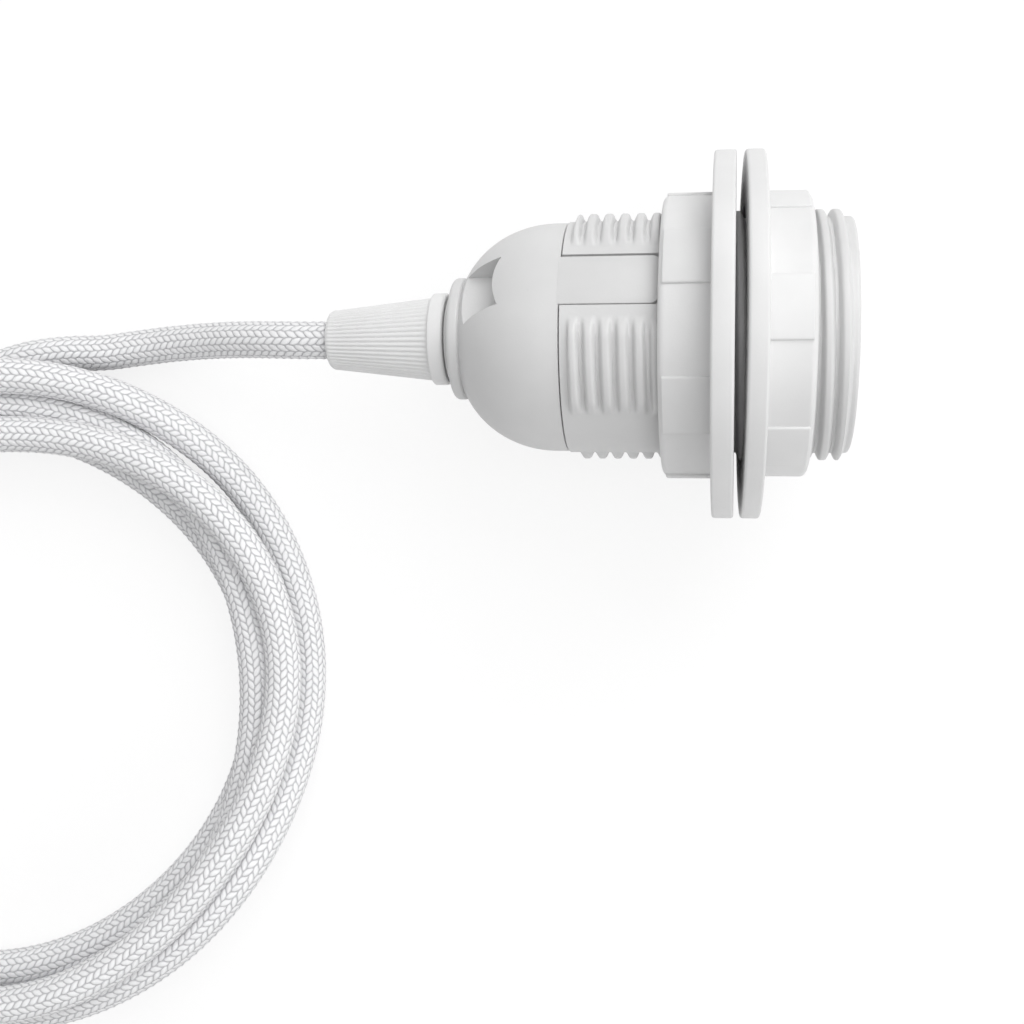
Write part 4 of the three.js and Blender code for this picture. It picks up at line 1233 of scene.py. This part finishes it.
@dataclass
class SocketInside:
    """What the barrel holds: insulating block and rolled screw shell, with the cord's end behind them."""

    block_radius: float = 15.7
    collar_inner: float = 14.4
    collar_end: float = 16.95
    hole_radius: float = 1.5
    hole_offset: float = 8.0
    shell_radius: float = 14.1
    sheet: float = 0.5
    thread_depth: float = 1.1
    shell_pitch: float = 3.63
    shell_bottom: float = -8.85
    shell_top: float = 12.93
    cable_end: float = -37.85

    def build_block(self, place: Matrix) -> None:
        """Make the insulating block with its two rivet holes and soft edges."""
        wall = [(self.block_radius, z) for z in (FLOOR_BOTTOM_Z, self.collar_end)]
        well = [(self.collar_inner, self.collar_end), (self.collar_inner, FLOOR_TOP_Z), (0, FLOOR_TOP_Z)]
        block = Bench.turn("insulating_block", [(0, FLOOR_BOTTOM_Z), *wall, *well], 120)
        for side in (-1, 1):
            middle = (side * self.hole_offset, 0, (FLOOR_BOTTOM_Z + FLOOR_TOP_Z) / 2)
            Bench.combine(block, Bench.cylinder("rivet_hole", self.hole_radius, 8, middle), "DIFFERENCE")
        Bench.soften(block, 0.25, 2)
        Bench.smooth(block, 40)
        lay(block, place)
        hand_over(block, Body.HOLDER, Finish.BLOCK.value, ["contact_block"])

    def roll(self, places: np.ndarray) -> np.ndarray:
        """Roll the round thread into both faces of the plain shell."""
        _, turn = polar(places)
        wave = ((places[:, 2] - self.shell_bottom) - turn / 360 * self.shell_pitch) / self.shell_pitch
        ends = np.clip((places[:, 2] - self.shell_bottom) / 1.5, 0, 1)
        ends *= np.clip((self.shell_top - places[:, 2]) / 1.5, 0, 1)
        return pushed(places, -self.thread_depth * (0.5 - 0.5 * np.cos(wave * 2 * math.pi)) * ends)

    def build_shell(self, place: Matrix) -> None:
        """Make the screw shell with its rolled thread."""
        levels = np.linspace(self.shell_bottom, self.shell_top, 64)
        outside = [(self.shell_radius, z) for z in levels]
        inside = [(self.shell_radius - self.sheet, z) for z in levels[::-1]]
        shell = Bench.turn("rolled_screw_shell", [*outside, *inside, outside[0]], 144)
        Bench.move_points(shell, self.roll)
        Bench.smooth(shell, 50)
        lay(shell, place)
        hand_over(shell, Body.HOLDER, Finish.BRASS.value, ["screw_shell"])

    def build_cable(self, place: Matrix, braid: BraidedCord) -> None:
        """Make the cord's end that runs on inside the grip and the cap."""
        ends = (GRIP_NOSE_Z + 0.3, self.cable_end)
        line = [place @ (Vector((0, 0, z)) * MM) / MM for z in np.linspace(*ends, 12)]
        cable = braid.tube("cord_in_grip", np.array([tuple(p) for p in line]))
        hand_over(cable, Body.HOLDER, braid.finish, ["cable_inside"])


@dataclass
class FlatPlug:
    """Flat two-pin plug: soft body with finger grooves, ribbed strain relief and sleeved pins."""

    width: float = 35.3
    waist: float = 24.0
    length: float = 34.0
    shoulder: float = 15.3
    thickness: float = 13.7
    edge: float = 2.4
    relief_length: float = 24.0
    gap: float = 0.3
    relief_tip: float = 3.9
    relief_root: float = 5.4
    pin_spacing: float = 18.6
    pin_radius: float = 2.0
    core_radius: float = 1.2
    pin_length: float = 19.0
    sleeve_length: float = 10.0
    socket_depth: float = 4.0
    grooves: int = 4
    groove_start: float = 9.0
    groove_pitch: float = 3.2
    relief_ribs: int = 7

    def place(self, route: CordRoute) -> Matrix:
        """Give the move that lays the plug flat, in line with the end of the cord.

        Args:
            route: the cord's route.

        Returns:
            The move from the upright plug to where it lies.
        """
        before, end = (Vector((p[0], p[1], 0)) for p in route.tail[-2:])
        along = (end - before).normalized()
        up = Vector((0, 0, 1))
        spot = (end + along * (self.relief_length + self.gap) + up * self.thickness / 2) * MM
        turn = Matrix((up.cross(along), up, along)).transposed()
        return Matrix.Translation(spot) @ turn.to_4x4()

    def build_body(self) -> bpy.types.Object:
        """Make the body: a block bisected at the shoulder, drawn in to the waist, rounded and grooved."""
        size = (self.width, self.thickness, self.length)
        body = Bench.block("plug_moulding", size, (0, 0, self.length / 2))
        Bench.pick(body)
        bpy.ops.object.mode_set(mode="EDIT")
        bpy.ops.mesh.select_all(action="SELECT")
        bpy.ops.mesh.bisect(plane_co=(0, 0, self.shoulder * MM), plane_no=(0, 0, 1))
        bpy.ops.object.mode_set(mode="OBJECT")
        draw_in = self.waist / self.width
        Bench.move_points(body, lambda p: np.where(p[:, 2:] < 0.1, p * (draw_in, 0.86, 1.0), p))
        Bench.soften(body, self.edge, 5, 12)
        for side in (-1, 1):
            for i in range(self.grooves):
                at = (0, side * (self.thickness / 2 + 0.15), self.groove_start + i * self.groove_pitch)
                groove = Bench.block("groove", (15.0 + i * 1.5, 1.2, 1.5), at, 0.5)
                Bench.combine(body, groove, "DIFFERENCE")
            middle = (side * self.pin_spacing / 2, 0, self.length + 1)
            radius, depth = self.core_radius + self.gap, 2 * (self.socket_depth + 1)
            Bench.combine(body, Bench.cylinder("pin_socket", radius, depth, middle), "DIFFERENCE")
        Bench.smooth(body, 35)
        return body

    def build_relief(self) -> bpy.types.Object:
        """Make the tapered strain relief, its ribs cut round it."""
        start, end, ribs = -self.relief_length, -self.gap, self.relief_ribs
        points = [(3.2, start + 0.3), (self.relief_tip - 0.4, start), (self.relief_tip, start + 0.5)]
        pitch = (end - start - 3.0) / ribs
        for i in range(ribs):
            z = start + 1.6 + i * pitch
            reach = self.relief_tip + (self.relief_root - self.relief_tip) * (z - start) / self.relief_length
            points += [(reach, z - 0.25), (reach - 0.55, z + 0.15), (reach - 0.55, z + 1.0), (reach, z + 1.4)]
        points += [(self.relief_root, end - 0.2), (self.relief_root - 0.2, end), (0, end), (0, start + 0.3)]
        relief = Bench.turn("plug_relief", [*points, points[0]], 48)
        Bench.smooth(relief, 50)
        return relief

    def build_pin(self, side: int) -> list[bpy.types.Object]:
        """Make one pin and its sleeve.

        Args:
            side: -1 or 1, which of the two it is.

        Returns:
            The pin and the sleeve.
        """
        root, foot = self.length - self.socket_depth + self.gap, self.length + self.gap
        step, tip = self.length + self.sleeve_length + self.gap, self.length + self.pin_length
        nose = arc((self.pin_radius - 1.2, tip - 1.2), 1.2, 0, 90, 6)
        points = [(0, root), (self.core_radius, root), (self.core_radius, step), (self.pin_radius, step)]
        pin = Bench.turn("plug_contact", [*points, *nose, (0, tip)], 40)
        inner, outer = self.core_radius + self.gap, self.pin_radius - 0.05
        top = self.length + self.sleeve_length
        edge = [(inner, foot), (outer - 0.1, foot), (outer, foot + 0.1)]
        edge += [(outer, top - 0.1), (outer - 0.1, top)]
        sleeve = Bench.turn("plug_sleeve", [*edge, (inner, top), (inner, foot)], 40)
        for piece in (pin, sleeve):
            Bench.smooth(piece, 40)
            piece.location.x = side * self.pin_spacing / 2 * MM
        return [pin, sleeve]

    def build(self, route: CordRoute) -> list[bpy.types.Object]:
        """Make the plug and lay it at the cord's end.

        Args:
            route: the cord's route.

        Returns:
            The plug's pieces.
        """
        place, pieces = self.place(route), []
        body, relief = self.build_body(), self.build_relief()
        for piece, solid in ((body, "plug_body"), (relief, "plug_strain_relief")):
            lay(piece, place)
            hand_over(piece, Body.HOLDER, Finish.PLUG.value, [solid])
            pieces.append(piece)
        for side, word in ((-1, "left"), (1, "right")):
            pin, sleeve = self.build_pin(side)
            pin.name, sleeve.name = f"plug_contact_{word}", f"plug_sleeve_{word}"
            lay(pin, place)
            hand_over(pin, Body.HOLDER, Finish.STEEL.value, [f"plug_pin_{word}"])
            lay(sleeve, place)
            hand_over(sleeve, Body.HOLDER, Finish.PLUG.value, [f"pin_sleeve_{word}"])
            pieces += [pin, sleeve]
        return pieces


KEPT_SOLIDS = {
    "grip_collet": Finish.BLOCK,
    "centre_contact": Finish.BRASS,
    "side_contact": Finish.BRASS,
    "live_clamp": Finish.BRASS,
    "neutral_clamp": Finish.BRASS,
    "live_clamp_screw": Finish.STEEL,
    "neutral_clamp_screw": Finish.STEEL,
    "live_core": Finish.LIVE,
    "neutral_core": Finish.NEUTRAL,
}


def dress_kept_solids() -> None:
    """Give each solid that shows as it is its own finish."""
    for name, finish in KEPT_SOLIDS.items():
        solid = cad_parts[name]
        solid.material_slots[0].material = finish.value.material()
        LOG.info("%s: kept solid with %s", name, finish.value.name)


def main() -> None:
    """Build the set in order: camera, studio, plug, cord, holder, rings and what they hold."""
    logging.basicConfig(level=logging.INFO, format="%(message)s")
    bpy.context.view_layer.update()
    CameraRig().build()
    Studio().build()
    route, braid, place = CordRoute(), BraidedCord(Finish.BRAID.value), HolderPlace()
    braid.build(route, FlatPlug().build(route))
    holder = place.matrix()
    CordGrip().build(holder)
    Cap().build(holder)
    Barrel().build(holder)
    rear = ShadeRing("rear_ring_dressed", "rear_shade_ring", Body.REAR_RING, 3.4, 7.8, -154.5, RIM_CHIPS)
    rear.build(place.rear_ring())
    front = ShadeRing("front_ring_dressed", "front_shade_ring", Body.FRONT_RING, 3.0, 7.2, 176.2)
    front.build(place.front_ring())
    inside = SocketInside()
    inside.build_block(holder)
    inside.build_shell(holder)
    inside.build_cable(holder, braid)
    dress_kept_solids()


if __name__ == "__main__":
    main()
